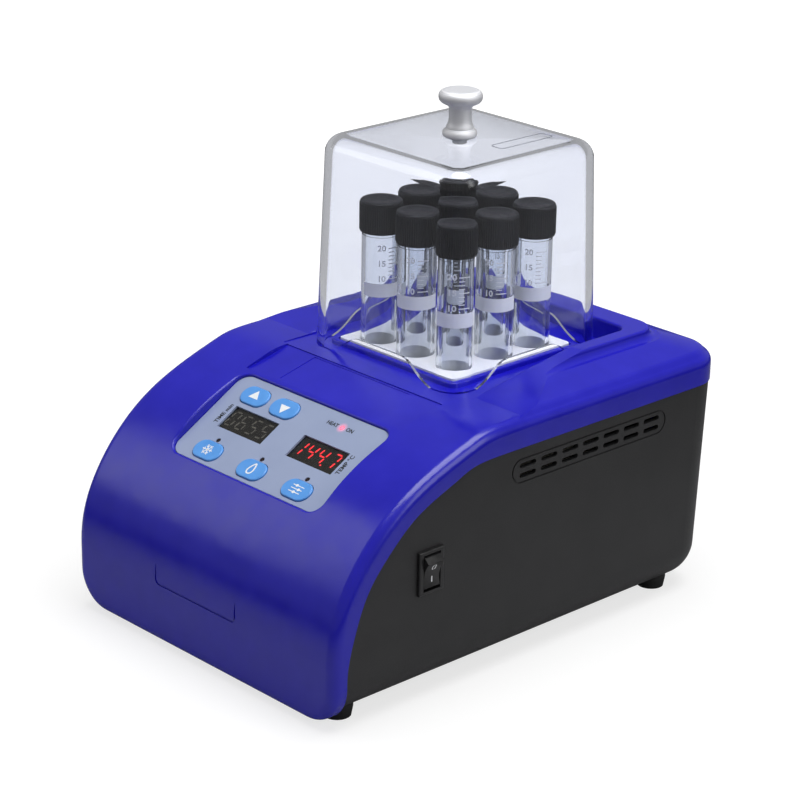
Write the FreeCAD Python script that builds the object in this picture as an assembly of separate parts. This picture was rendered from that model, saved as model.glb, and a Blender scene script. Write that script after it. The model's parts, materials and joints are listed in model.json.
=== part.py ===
import FreeCAD, Part
import math
import os

V = FreeCAD.Vector
X, Y, Z = V(1, 0, 0), V(0, 1, 0), V(0, 0, 1)

# All sizes in mm. X runs across the front, Y from front to rear, Z up from the bench.
# The part is drawn about its plane of symmetry at X 0. Before it is written out it moves sideways, so that
# the origin lies on the bench under the middle of the whole outline, with the rocker that stands out on the right.

# Moulded cover
WIDTH = 184.0
LENGTH = 256.0
COVER_TOP_Z = 121.0
COVER_BOTTOM_Z = 1.8
COVER_WALL = 2.5
ARCH_RUN = 115.5
ARCH_SPRING_Z = 33.0
LOWER_CORNER_R = 19.0
REAR_CORNER_R = 20.0
COVER_EDGE_R = 5.0
BAND_BOTTOM_DEPTH = 8.5
BAND_RUN = 92.0
BAND_START_Z = 23.0
SKIRT_Z = 107.2
NAME_FRAME_WIDTH = 58.0
NAME_FRAME_HEIGHT = 12.0
NAME_FRAME_Z = 37.5
NAME_FRAME_X = -3.0
NAME_GROOVE = 1.0
NAME_GROOVE_DEPTH = 0.6
NAME_CORNER_R = 3.0

# Collar and basin on top of the cover; the block sits behind the middle by a share of the length
BLOCK_SHARE = 0.12695
BASIN_HALF_WIDTH = 57.0
BASIN_REAR = 60.0
BASIN_FRONT = 60.0
BASIN_FLOOR_Z = 120.5
BASIN_CORNER_R = 6.0
BASIN_RIM_R = 1.2
COLLAR_RISE = 10.0
COLLAR_LIP = 8.5
COLLAR_REAR_LIP = 14.0
COLLAR_STEP = 4.5
COLLAR_LEDGE = 5.0
COLLAR_BLEND_R = 3.4
COLLAR_RIM_R = 1.2
SHOULDER_RISE = 1.7
SHOULDER_DROP = 2.2
SHOULDER_INSET = 5.0
SHOULDER_R = 5.0
RAMP_START = 50.0
TONGUE_REACH = 40.0
RAMP_END = 20.0
DECK_HALF_WIDTH = 54.0
DECK_RECESS = 0.9
LABEL_RECESS = 0.5
LABEL_HALF_WIDTH = 33.0
DECK_GAP = 3.0
LABEL_GAP = 6.0
DECK_STEP = 0.5
UPSTAND_HEIGHT = 2.5
UPSTAND_WALL = 2.6
UPSTAND_CORNER_R = 3.0
UPSTAND_EDGE_R = 0.8

# Lower tub
BASE_BOTTOM_Z = 4.6
BASE_WALL = 2.5
BASE_INSET = 0.6
BASE_EDGE_R = 18.0
BASE_OVERRUN = 30.0
REAR_DRAFT_DEG = 3.2
PARTING_GAP = 0.3
LIP_HEIGHT = 4.0
LIP_WALL = 1.4
LIP_CLEARANCE = 0.4
VENT_COUNT = 7
VENT_PITCH = 13.94
VENT_LENGTH = 10.6
VENT_HEIGHT = 2.4
VENT_ROW_GAP = 4.8
VENT_Z = 95.8
VENT_BORDER = 5.0
VENT_GROOVE = 0.8
VENT_GROOVE_DEPTH = 0.5
FLOOR_VENT_COUNT = 6
FLOOR_VENT_LENGTH = 50.0

# Feet and case screws
FOOT_SIDE_INSET = 16.5
FOOT_FRONT_INSET = 17.5
FOOT_REAR_INSET = 29.5
FOOT_R = 6.5
FOOT_FLARE = 0.8
FOOT_GRIP = 3.0
FOOT_POCKET = 3.0
FOOT_POCKET_CLEARANCE = 0.5
BOSS_R = 4.5
FRONT_BOSS_SPLIT_Z = 34.0
REAR_BOSS_SPLIT_Z = 60.0
SCREW_R = 1.5
SCREW_HEAD_R = 3.0
SCREW_HEAD_HEIGHT = 2.2
SCREW_CLEARANCE = 0.2
SCREW_GRIP = 16.0

# Key panel
PANEL_WIDTH = 104.0
PANEL_LENGTH = 53.4
PANEL_START = 25.2
PANEL_CORNER_R = 7.0
PANEL_RECESS = 1.2
PANEL_GAP = 0.3
SEAT_RIM_R = 0.9
WINDOW_CORNER_R = 3.0
OVERLAY_THICKNESS = 1.0
WINDOW_MARGIN = 5.5
KEY_LENGTH = 17.4
KEY_WIDTH = 10.8
KEY_RISE = 0.8
KEY_CLEARANCE = 0.3
KEY_TRAVEL = 0.4
LOWER_KEY_PITCH = 31.4
LOWER_KEY_ROW = -19.2
LOWER_KEY_X = -0.3
UPPER_KEY_ROW = 17.0
UPPER_KEY_X = (-34.6, -13.6)
DISPLAY_X = 24.3
DISPLAY_ROW = 1.8
DISPLAY_WIDTH = 31.0
DISPLAY_HEIGHT = 14.0
LED_R = 1.15
LED_CLEARANCE = 0.15
LED_SUNK = 0.2
LED_ROW = -12.0
HEAT_LED_X = 23.8
HEAT_LED_ROW = 19.6
BOARD_DROP = 8.5
BOARD_THICKNESS = 1.6
FILTER_THICKNESS = 0.5
FILTER_BORDER = 1.3
MODULE_CLEARANCE = 0.4
DIGIT_WIDTH = 5.2
DIGIT_HEIGHT = 9.2
DIGIT_RECESS = 0.3
BOARD_POST_R = 2.0
BOARD_POST_INSET = 2.3
BOARD_INSET = 0.5
TACT_SIZE = 6.0
TACT_HEIGHT = 3.5
TACT_STEM_R = 1.7
TACT_GAP = 0.05
# Parts under the display board: left and lower edge on the board, width, depth, height
RIBBON_PLUG = (-9.0, -23.0, 18.0, 6.0, 7.0)
DISPLAY_DRIVER = (-8.0, 1.0, 14.0, 14.0, 2.5)

# Power switch and mains inlet
SWITCH_WIDTH = 15.0
SWITCH_HEIGHT = 21.0
SWITCH_INSET = 57.7
SWITCH_Z = 63.4
SWITCH_BEZEL = 1.8
SWITCH_DEPTH = 15.0
SWITCH_THROW_DEG = 12.0
SWITCH_FLANGE = 1.2
SWITCH_POCKET_DEPTH = 9.0
SWITCH_CHEEK = 2.3
SWITCH_END_WALL = 1.6
SWITCH_EDGE_R = 0.8
SNAP_CLEARANCE = 0.3
ROCKER_SIDE_GAP = 0.3
ROCKER_END_GAP = 0.6
ROCKER_BACK = 4.0
ROCKER_EDGE_BACK = 2.4
ROCKER_EDGE_FRONT = 1.6
ROCKER_CREST = 4.4
ROCKER_CREST_INSET = 1.8
ROCKER_VALLEY = 2.9
ROCKER_AXIS_DEPTH = 1.0
SWITCH_PIN_REACH = 0.6
SWITCH_PIN_END_GAP = 0.2
TERMINAL_PITCH = 9.0
TERMINAL_WIDTH = 4.8
TERMINAL_THICKNESS = 0.8
TERMINAL_LENGTH = 7.0
SWITCH_PIN_R = 1.0
RUNNING_CLEARANCE = 0.05
INLET_X = -48.0
INLET_Z = 48.0
INLET_WIDTH = 31.0
INLET_HEIGHT = 33.0
INLET_FLANGE = 2.0
INLET_DEPTH = 22.0
INLET_LAP = 2.3
INLET_CORNER_R = 2.0
INLET_WELL_WIDTH = 24.0
INLET_WELL_HEIGHT = 17.0
INLET_WELL_TOP_GAP = 3.6
INLET_WELL_DEPTH = 16.0
INLET_WELL_CHAMFER = 4.3
INLET_BLADE_PITCH = 13.0
INLET_BLADE_RISE = 3.6
INLET_BLADE_WIDTH = 2.0
INLET_BLADE_HEIGHT = 4.0
INLET_BLADE_SUNK = 4.0
FUSE_WIDTH = 14.0
FUSE_HEIGHT = 6.5
FUSE_LENGTH = 20.0
FUSE_MARGIN = 3.4
FUSE_CLEARANCE = 0.3
FUSE_WALL = 1.2
FUSE_FRONT = 2.0
FUSE_GRIP_WIDTH = 6.0
FUSE_GRIP_DEPTH = 1.2

# Control board on the tub floor; each part: left and front edge on the board, lift, width, depth, height
CONTROL_HALF_WIDTH = 62.0
CONTROL_FRONT_GAP = 22.0
CONTROL_REAR_GAP = 8.0
STANDOFF_HEIGHT = 5.0
STANDOFF_R = 3.0
STANDOFF_INSET = 5.0
TRANSFORMER_CORE = (12.0, 8.0, 0.0, 34.0, 28.0, 26.0)
TRANSFORMER_COIL = (16.0, 4.0, 5.0, 26.0, 36.0, 16.0)
RELAY = (66.0, 10.0, 0.0, 16.0, 16.0, 14.0)
TERMINAL_STRIP = (54.0, 54.0, 0.0, 30.0, 9.0, 11.0)
HEAT_SINK = (94.0, 6.0, 0.0, 4.0, 54.0, 24.0)
HEAT_SINK_FIN = (98.0, 7.0, 0.0, 12.0, 1.4, 24.0)
FIN_COUNT = 5
FIN_PITCH = 7.0
CAPACITOR_R = 4.0
CAPACITOR_HEIGHT = 15.0
CAPACITOR_PLACES = ((20.0, 55.0), (32.0, 55.0))

# Heating block and its carrier
BLOCK_SIZE = 78.0
BLOCK_HEIGHT = 66.0
PLATE_THICKNESS = 2.2
PLATE_TOP_Z = 123.7
BLOCK_GAP = 0.6
BLOCK_CORNER_R = 2.0
WELL_PITCH = 25.1
WELL_DEPTH = 50.0
WELL_CLEARANCE = 0.3
JACKET_WALL = 15.0
JACKET_FLOOR = 10.0
JACKET_CORNER_R = 6.0
LEAD_NOTCH_WIDTH = 50.0
LEAD_NOTCH_RISE = 2.0
HEATER_R = 4.75
HEATER_LENGTH = 72.0
HEATER_OUT = 6.0
HEATER_DROP = 2.0
HEATER_CLEARANCE = 0.05
SENSOR_R = 2.0
SENSOR_LENGTH = 34.0
SENSOR_OUT = 8.0
SENSOR_DROP = 1.5
BRACKET_THICKNESS = 1.5
BRACKET_FLANGE = 10.0
BRACKET_SIDE_GAP = 1.0
BRACKET_END_INSET = 8.0
LIGHTENING_R = 20.0

# Reaction tubes with screw caps: slim ones on the diagonal, wide ones elsewhere
SLIM_TUBE_R = 7.7
WIDE_TUBE_R = 9.2
TUBE_WALL = 1.3
TUBE_LENGTH = 118.4
TUBE_SEAT_GAP = 0.1
NECK_STEP = 0.6
SHOULDER_GAP = 1.5
CAP_OVERLAP = 11.8
CAP_TOP = 2.0
CAP_OUT = 1.3
CAP_CLEARANCE = 0.3
CAP_RIM = 0.4
CAP_CHAMFER = 0.8
LINER_THICKNESS = 1.6

# Clear hood with turned knob
HOOD_BASE_HALF = 50.5
HOOD_TOP_HALF = 47.9
HOOD_TOP_Z = 225.0
HOOD_WALL = 2.5
HOOD_CORNER_R = 11.0
HOOD_DOME_R = 9.0
RIM_ARCH_HEIGHT = 10.5
RIM_ARCH_TOP_HALF = 18.0
RIM_ARCH_BASE_HALF = 32.0
RIM_ARCH_CORNER_R = 8.0
KNOB_HEIGHT = 22.4
KNOB_DISC_R = 10.5
KNOB_DISC_HEIGHT = 6.0
KNOB_NECK_R = 5.4
KNOB_BASE_R = 8.2
KNOB_BASE_EDGE = 1.2
KNOB_FLARE_HEIGHT = 7.0
KNOB_UNDERCUT = 3.0
KNOB_SCREW_R = 2.0
KNOB_SCREW_GRIP = 14.0
KNOB_BORE_CLEARANCE = 0.05
HOOD_HOLE_CLEARANCE = 0.3
WASHER_R = 5.0
WASHER_THICKNESS = 0.8
KNOB_SCREW_HEAD_R = 3.4
KNOB_SCREW_HEAD_HEIGHT = 2.4

# The arch between its springing line and the top, as shares of its own run and rise
ARCH_SHAPE = ((0.074, 0.364), (0.233, 0.633), (0.439, 0.820), (0.726, 0.9625))
BAND_SHAPE = ((0.0435, 0.253), (0.134, 0.489), (0.279, 0.673), (0.441, 0.816), (0.71, 0.944))

FRONT_Y = -LENGTH / 2
REAR_Y = LENGTH / 2
BLOCK_Y = LENGTH * BLOCK_SHARE
FOOT_X = WIDTH / 2 - FOOT_SIDE_INSET
BASE_REAR_Y = REAR_Y - BASE_INSET
BASE_HALF = WIDTH / 2 - BASE_INSET
BASE_FRONT_Y = FRONT_Y + BAND_BOTTOM_DEPTH + PARTING_GAP
COLLAR_TOP_Z = COVER_TOP_Z + COLLAR_RISE
BASIN_REAR_Y = BLOCK_Y + BASIN_REAR
BASIN_FRONT_Y = BLOCK_Y - BASIN_FRONT
FAR = 2 * (WIDTH + LENGTH)


def box(x0, x1, y0, y1, z0, z1):
    return Part.makeBox(x1 - x0, y1 - y0, z1 - z0, V(x0, y0, z0))


def rod(radius, start, end):
    axis = end - start
    return Part.makeCylinder(radius, axis.Length, start, axis)


def fuse(shapes):
    shapes = list(shapes)
    return shapes[0].multiFuse(shapes[1:]).removeSplitter() if len(shapes) > 1 else shapes[0]


def cut(shape, tools):
    return shape.cut(list(tools))


def prism(points, depth):
    """Solid from a closed run of points, pushed along depth."""
    wire = Part.makePolygon(points + points[:1])
    return Part.Face(wire).extrude(depth)


def bounded(edge, **limits):
    """True when each named side of the edge's bounding box sits at its value."""
    bb = edge.BoundBox
    return all(abs(getattr(bb, side) - value) < 1e-3 for side, value in limits.items())


def round_edges(shape, radius, *wanted):
    """Fillets every edge whose bounding box agrees with one of the wanted sets of limits."""
    edges = [e for e in shape.Edges if any(bounded(e, **limits) for limits in wanted)]
    return shape.makeFillet(radius, edges)


def rounded_plate(x0, x1, y0, y1, z0, z1, radius):
    """Flat slab with its four upright edges rounded."""
    slab = box(x0, x1, y0, y1, z0, z1)
    corners = [dict(XMin=x, XMax=x, YMin=y, YMax=y) for x in (x0, x1) for y in (y0, y1)]
    return round_edges(slab, radius, *corners)


def revolve(profile, centre):
    """Turns (radius, z) points round the upright axis through centre."""
    points = [centre + V(r, 0, z) for r, z in profile]
    return Part.Face(Part.makePolygon(points + points[:1])).revolve(centre, Z, 360)


def shaped_curve(start, run, rise, shares, offset):
    """Spline from upright at the start to level at the end, moved to its right side by offset."""
    ends = [(0.0, 0.0)] + list(shares) + [(1.0, 1.0)]
    points = [start + V(0, run * a, rise * b) for a, b in ends]
    curve = Part.BSplineCurve()
    curve.interpolate(Points=points, InitialTangent=Z, FinalTangent=Y)
    if not offset:
        return curve
    first, last = curve.FirstParameter, curve.LastParameter
    moved = []
    for i in range(17):
        u = first + (last - first) * i / 16
        along = curve.tangent(u)[0]
        moved.append(curve.value(u) + V(0, along.z, -along.y) * offset)
    shifted = Part.BSplineCurve()
    shifted.interpolate(Points=moved, InitialTangent=Z, FinalTangent=Y)
    return shifted


def arch_curve(inset=0.0):
    start = V(0, FRONT_Y, ARCH_SPRING_Z)
    return shaped_curve(start, ARCH_RUN, COVER_TOP_Z - ARCH_SPRING_Z, ARCH_SHAPE, inset)


def parting_curve(inset=0.0):
    start = V(0, FRONT_Y + BAND_BOTTOM_DEPTH, BAND_START_Z)
    return shaped_curve(start, BAND_RUN, SKIRT_Z - BAND_START_Z, BAND_SHAPE, inset)


def arch_point(reached):
    """First point up the arch for which reached(point) turns true."""
    curve = arch_curve()
    low, high = curve.FirstParameter, curve.LastParameter
    for _ in range(40):
        middle = (low + high) / 2
        if reached(curve.value(middle)):
            high = middle
        else:
            low = middle
    return curve.value(high)


def side_profile(curve, top_z, rear_y, bottom_z):
    """Face under a front curve, closed by a level top, an upright rear and a level bottom."""
    start, end = curve.StartPoint, curve.EndPoint
    corners = [end, V(0, rear_y, top_z), V(0, rear_y, bottom_z), V(0, start.y, bottom_z), start]
    lines = [Part.LineSegment(a, b).toShape() for a, b in zip(corners, corners[1:])]
    return Part.Face(Part.Wire([curve.toShape()] + lines))


def across(face, half_width):
    """Pushes a face in the plane of symmetry out to both sides."""
    solid = face.extrude(X * (2 * half_width))
    solid.translate(X * -half_width)
    return solid


# Key panel frame: x across, y up the slope, z out of the panel face
PANEL_LOW = arch_point(lambda p: p.y >= FRONT_Y + PANEL_START)
PANEL_HIGH = arch_point(lambda p: p.y > PANEL_LOW.y and (p - PANEL_LOW).Length >= PANEL_LENGTH)
PANEL_TILT = math.atan2(PANEL_HIGH.z - PANEL_LOW.z, PANEL_HIGH.y - PANEL_LOW.y)
PANEL_NORMAL = V(0, -math.sin(PANEL_TILT), math.cos(PANEL_TILT))
PANEL_PLACE = FreeCAD.Placement((PANEL_LOW + PANEL_HIGH) * 0.5 - PANEL_NORMAL * PANEL_RECESS,
                                FreeCAD.Rotation(X, math.degrees(PANEL_TILT)))


def on_panel(shape):
    placed = shape.copy()
    placed.Placement = PANEL_PLACE.multiply(placed.Placement)
    return placed


def cover_body(inset):
    """Solid arch of the cover, shrunk all round by inset."""
    bottom = COVER_BOTTOM_Z + inset
    rear = REAR_Y - inset
    half = WIDTH / 2 - inset
    top = COVER_TOP_Z - inset
    body = across(side_profile(arch_curve(inset), top, rear, bottom), half)
    body = round_edges(body, LOWER_CORNER_R - inset,
                       *[dict(XMin=x, XMax=x, ZMin=bottom, ZMax=bottom) for x in (-half, half)])
    body = round_edges(body, REAR_CORNER_R - inset,
                       *[dict(XMin=x, XMax=x, YMin=rear, YMax=rear) for x in (-half, half)])
    return round_edges(body, COVER_EDGE_R - inset, dict(XMin=half, XMax=half, ZMin=top, ZMax=top))


def below_parting(raised):
    """Everything under the line where cover and tub meet, with that line raised by some mm."""
    curve = parting_curve(-raised)
    return across(side_profile(curve, SKIRT_Z + raised, REAR_Y + FAR, -FAR), FAR)


def tongue(half, rear, z, radius):
    """Level outline with a straight front and two rounded rear corners."""
    front = BLOCK_Y - RAMP_START - TONGUE_REACH
    q = radius * math.sqrt(0.5)
    cx, cy = half - radius, rear - radius
    a, b, c = V(half, front, z), V(half, cy, z), V(cx, rear, z)
    edges = [Part.LineSegment(a, b), Part.Arc(b, V(cx + q, cy + q, z), c),
             Part.LineSegment(c, V(-cx, rear, z)),
             Part.Arc(V(-cx, rear, z), V(-cx - q, cy + q, z), V(-half, cy, z)),
             Part.LineSegment(V(-half, cy, z), V(-half, front, z)),
             Part.LineSegment(V(-half, front, z), a)]
    return Part.Wire([e.toShape() for e in edges])


def collar_body(inset):
    """Raised ring round the basin: flat lip, step, slope, then a rounded shoulder at the cover's edge."""
    crest_half = BASIN_HALF_WIDTH + COLLAR_LIP - inset
    crest_rear = BASIN_REAR_Y + COLLAR_REAR_LIP - inset
    shoulder_z = COLLAR_TOP_Z - COLLAR_STEP - inset
    slope_top_half, slope_top_rear = crest_half + COLLAR_LEDGE, crest_rear + COLLAR_LEDGE
    reach = math.sqrt(COVER_EDGE_R ** 2 - (COVER_EDGE_R - SHOULDER_DROP) ** 2) - COVER_EDGE_R
    edge_half, edge_rear = WIDTH / 2 + reach - inset, REAR_Y + reach - inset
    bend_half, bend_rear = WIDTH / 2 - SHOULDER_INSET - inset, REAR_Y - SHOULDER_INSET - inset
    bend_z = COVER_TOP_Z + SHOULDER_RISE - inset
    corner = REAR_CORNER_R - COVER_EDGE_R
    slope = Part.makeLoft([tongue(edge_half, edge_rear, COVER_TOP_Z - SHOULDER_DROP - inset, REAR_CORNER_R + reach),
                           tongue(bend_half, bend_rear, bend_z, REAR_CORNER_R - SHOULDER_INSET),
                           tongue(slope_top_half, slope_top_rear, shoulder_z, corner)], True, True)
    if inset == 0.0:
        bend = [e for e in slope.Edges
                if bounded(e, ZMin=bend_z, ZMax=bend_z) and e.BoundBox.YMax > BLOCK_Y]
        slope = slope.makeFillet(SHOULDER_R, bend)
    lip = Part.makeLoft([tongue(crest_half + 1.0, crest_rear + 1.0, shoulder_z - 1.0, corner - 2.0),
                         tongue(crest_half, crest_rear, COLLAR_TOP_Z - inset, corner - 3.0)], True, True)
    ring = slope.fuse(lip).removeSplitter()
    if inset == 0.0:
        foot = [e for e in ring.Edges
                if bounded(e, ZMin=shoulder_z, ZMax=shoulder_z)
                and e.BoundBox.XMax < crest_half + 1.0 and e.BoundBox.XMin > -crest_half - 1.0
                and e.BoundBox.YMax < crest_rear + 1.0 and e.BoundBox.YMax > BLOCK_Y]
        ring = ring.makeFillet(COLLAR_BLEND_R, foot)
        rim = [e for e in ring.Edges
               if bounded(e, ZMin=COLLAR_TOP_Z, ZMax=COLLAR_TOP_Z) and e.BoundBox.YMax > BLOCK_Y]
        ring = ring.makeFillet(COLLAR_RIM_R, rim)
    ramp_low = V(0, BLOCK_Y - RAMP_START, COVER_TOP_Z - 1.0 - inset)
    ramp_high = V(0, BLOCK_Y + RAMP_END, COLLAR_TOP_Z - inset)
    crown = V(0, BLOCK_Y + FAR, COLLAR_TOP_Z - inset)
    under_ramp = [ramp_low, ramp_high, crown, V(0, crown.y, COVER_TOP_Z - FAR),
                  V(0, ramp_low.y, COVER_TOP_Z - FAR)]
    return ring.common(across(Part.Face(Part.makePolygon(under_ramp + under_ramp[:1])), FAR))


def panel_slab(grow, low, high):
    return on_panel(rounded_plate(-PANEL_WIDTH / 2 - grow, PANEL_WIDTH / 2 + grow,
                                  -PANEL_LENGTH / 2 - grow, PANEL_LENGTH / 2 + grow,
                                  low, high, PANEL_CORNER_R + grow))


def top_recess(grow, drop):
    """Panel seat, sloping deck and basin, as one hollow grown sideways and sunk."""
    high = COLLAR_TOP_Z + FAR / 10
    half = BASIN_HALF_WIDTH + grow
    rear = BASIN_REAR_Y + grow
    floor = BASIN_FLOOR_Z - drop
    basin = box(-half, half, BASIN_FRONT_Y, rear, floor, high)
    basin = round_edges(basin, BASIN_CORNER_R + grow,
                        *[dict(XMin=x, XMax=x, YMin=rear, YMax=rear) for x in (-half, half)])
    start_y = PANEL_HIGH.y + DECK_GAP
    start_z = arch_point(lambda p: p.y >= start_y).z - DECK_RECESS - drop
    deck = [V(0, start_y, start_z), V(0, BASIN_FRONT_Y, floor - DECK_STEP),
            V(0, BASIN_FRONT_Y, high), V(0, start_y, high)]
    deck = across(Part.Face(Part.makePolygon(deck + deck[:1])), DECK_HALF_WIDTH + grow)
    seat = panel_slab(PANEL_GAP + grow, -OVERLAY_THICKNESS - drop, FAR / 40)
    return seat, deck, basin


def round_seat(body):
    """Rounds the edge where the panel seat opens through the arch."""
    reach_x, reach_y = PANEL_WIDTH / 2 + 2 * PANEL_GAP, PANEL_LENGTH / 2 + 2 * PANEL_GAP
    back = PANEL_PLACE.inverse()
    rim = []
    for edge in body.Edges:
        middle = (edge.FirstParameter + edge.LastParameter) / 2
        ends = [back.multVec(p) for p in [v.Point for v in edge.Vertexes] + [edge.valueAt(middle)]]
        if all(abs(p.x) < reach_x and abs(p.y) < reach_y and p.z > 0 for p in ends):
            rim.append(edge)
    return body.makeFillet(SEAT_RIM_R, rim)


def round_basin(body):
    """Rounds the inner edge of the collar round the basin and down both ramps."""
    rim = []
    for edge in body.Edges:
        bb = edge.BoundBox
        inside = max(bb.XMax, -bb.XMin) < BASIN_HALF_WIDTH + PANEL_GAP and bb.YMax < BASIN_REAR_Y + PANEL_GAP
        level = bb.ZMin > COLLAR_TOP_Z - PANEL_GAP and bb.YMin > BLOCK_Y
        ramp = bounded(edge, ZMax=COLLAR_TOP_Z, YMax=BLOCK_Y + RAMP_END) and bb.YMin < BLOCK_Y
        if inside and (level or ramp):
            rim.append(edge)
    return body.makeFillet(BASIN_RIM_R, rim)


def label_recess():
    """Shallow bare field in the deck, in front of the basin."""
    start_y = PANEL_HIGH.y + LABEL_GAP
    start_z = arch_point(lambda p: p.y >= start_y).z - DECK_RECESS - LABEL_RECESS
    field = [V(0, start_y, start_z), V(0, BASIN_FRONT_Y - 1.0, BASIN_FLOOR_Z - DECK_STEP - LABEL_RECESS),
             V(0, BASIN_FRONT_Y - 1.0, COLLAR_TOP_Z), V(0, start_y, COLLAR_TOP_Z)]
    return across(Part.Face(Part.makePolygon(field + field[:1])), LABEL_HALF_WIDTH)


def name_frame():
    """Bare outlined field in the middle of the front."""

    def field(inset):
        x0, x1 = NAME_FRAME_X - NAME_FRAME_WIDTH / 2 + inset, NAME_FRAME_X + NAME_FRAME_WIDTH / 2 - inset
        z0, z1 = NAME_FRAME_Z - NAME_FRAME_HEIGHT / 2 + inset, NAME_FRAME_Z + NAME_FRAME_HEIGHT / 2 - inset
        slab = box(x0, x1, FRONT_Y - 1.0, FRONT_Y + NAME_GROOVE_DEPTH, z0, z1)
        return round_edges(slab, NAME_CORNER_R - inset,
                           *[dict(XMin=x, XMax=x, ZMin=z, ZMax=z) for x in (x0, x1) for z in (z0, z1)])

    return field(0.0).cut(field(NAME_GROOVE))


def foot_points():
    """Centre of each foot and of its case screw, with the height where tub and cover bosses meet."""
    front, rear = FRONT_Y + FOOT_FRONT_INSET, REAR_Y - FOOT_REAR_INSET
    return {"front_left": (V(-FOOT_X, front, 0), FRONT_BOSS_SPLIT_Z),
            "front_right": (V(FOOT_X, front, 0), FRONT_BOSS_SPLIT_Z),
            "rear_left": (V(-FOOT_X, rear, 0), REAR_BOSS_SPLIT_Z),
            "rear_right": (V(FOOT_X, rear, 0), REAR_BOSS_SPLIT_Z)}


def board_posts():
    """Corner posts between the underside of the panel seat and the display board."""
    px, py = PANEL_WIDTH / 2 - BOARD_POST_INSET, PANEL_LENGTH / 2 - BOARD_POST_INSET
    low, high = -BOARD_DROP, -OVERLAY_THICKNESS - COVER_WALL / 2
    return [on_panel(rod(BOARD_POST_R, V(x, y, low), V(x, y, high))) for x in (-px, px) for y in (-py, py)]


def top_cover():
    outer = cover_body(0.0).fuse(collar_body(0.0))
    hollow = cover_body(COVER_WALL).fuse(collar_body(COVER_WALL))
    hollow = cut(hollow, top_recess(COVER_WALL, COVER_WALL))
    shell = round_basin(round_seat(cut(outer, top_recess(0.0, 0.0)))).cut(hollow)
    shell = shell.cut(below_parting(0.0))
    middle = cover_body(COVER_WALL / 2).fuse(collar_body(COVER_WALL / 2))
    bosses = []
    for centre, split in foot_points().values():
        bosses.append(rod(BOSS_R, V(centre.x, centre.y, split), V(centre.x, centre.y, FAR)).common(middle))
    ring = upstand()
    shell = fuse([shell, ring] + bosses + board_posts())
    holes = [rod(SCREW_R + SCREW_CLEARANCE / 2, V(c.x, c.y, s - 1.0), V(c.x, c.y, s + SCREW_GRIP + 1.0))
             for c, s in foot_points().values()]
    half = BLOCK_SIZE / 2 + BLOCK_GAP
    opening = box(-half, half, BLOCK_Y - half, BLOCK_Y + half, BASIN_FLOOR_Z - FAR / 40, COLLAR_TOP_Z)
    wx, wy = PANEL_WIDTH / 2 - WINDOW_MARGIN, PANEL_LENGTH / 2 - WINDOW_MARGIN
    window = on_panel(rounded_plate(-wx, wx, -wy, wy, -FAR / 20, FAR / 20, WINDOW_CORNER_R))
    bays = [on_panel(key_blank(x, y, KEY_CLEARANCE, -FAR / 20, 0.0)) for x, y in key_centres().values()]
    return cut(shell, holes + [opening, window, label_recess(), name_frame()] + bays)


def upstand():
    """Low wall in the basin floor round the heating block."""
    half = BLOCK_SIZE / 2 + BLOCK_GAP + UPSTAND_WALL
    ring = rounded_plate(-half, half, BLOCK_Y - half, BLOCK_Y + half,
                         BASIN_FLOOR_Z - COVER_WALL / 2, BASIN_FLOOR_Z + UPSTAND_HEIGHT, UPSTAND_CORNER_R)
    top = BASIN_FLOOR_Z + UPSTAND_HEIGHT
    return round_edges(ring, UPSTAND_EDGE_R, dict(YMin=BLOCK_Y - half, YMax=BLOCK_Y - half, ZMin=top, ZMax=top))


def base_body(inset):
    """Solid tub with a drafted rear, shrunk all round by inset; it runs on above the parting line."""
    bottom, top = BASE_BOTTOM_Z + inset, SKIRT_Z + BASE_OVERRUN
    half, front = BASE_HALF - inset, BASE_FRONT_Y + inset
    lean = math.tan(math.radians(REAR_DRAFT_DEG))
    rear_low = BASE_REAR_Y - inset - (SKIRT_Z - bottom) * lean
    rear_high = BASE_REAR_Y - inset + (top - SKIRT_Z) * lean
    side = [V(-half, front, bottom), V(-half, rear_low, bottom), V(-half, rear_high, top), V(-half, front, top)]
    body = prism(side, X * (2 * half))
    uprights = [dict(XMin=x, XMax=x, YMin=rear_low, YMax=rear_high) for x in (-half, half)]
    body = round_edges(body, REAR_CORNER_R - BASE_INSET - inset, *uprights)
    rim = [e for e in body.Edges if bounded(e, ZMin=bottom, ZMax=bottom) and e.BoundBox.YMax > front + 1.0]
    return body.makeFillet(BASE_EDGE_R - inset, rim)


def rear_place(x, z):
    """Placement on the outside of the drafted rear wall, with z out of the wall and y up it."""
    lean = math.radians(REAR_DRAFT_DEG)
    y = BASE_REAR_Y - (SKIRT_Z - z) * math.tan(lean)
    return FreeCAD.Placement(V(x, y, z), FreeCAD.Rotation(X, -90.0 - REAR_DRAFT_DEG).multiply(
        FreeCAD.Rotation(Z, 180.0)))


def on_rear(shape):
    placed = shape.copy()
    placed.Placement = rear_place(INLET_X, INLET_Z).multiply(placed.Placement)
    return placed


def slot(length, height, x0, x1, y, z):
    """Round-ended slot through a side wall, long way along Y."""
    r = height / 2
    bar = box(x0, x1, y - length / 2 + r, y + length / 2 - r, z - r, z + r)
    ends = [rod(r, V(x0, y + s * (length / 2 - r), z), V(x1, y + s * (length / 2 - r), z)) for s in (-1, 1)]
    return bar.fuse(ends).removeSplitter()


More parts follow.
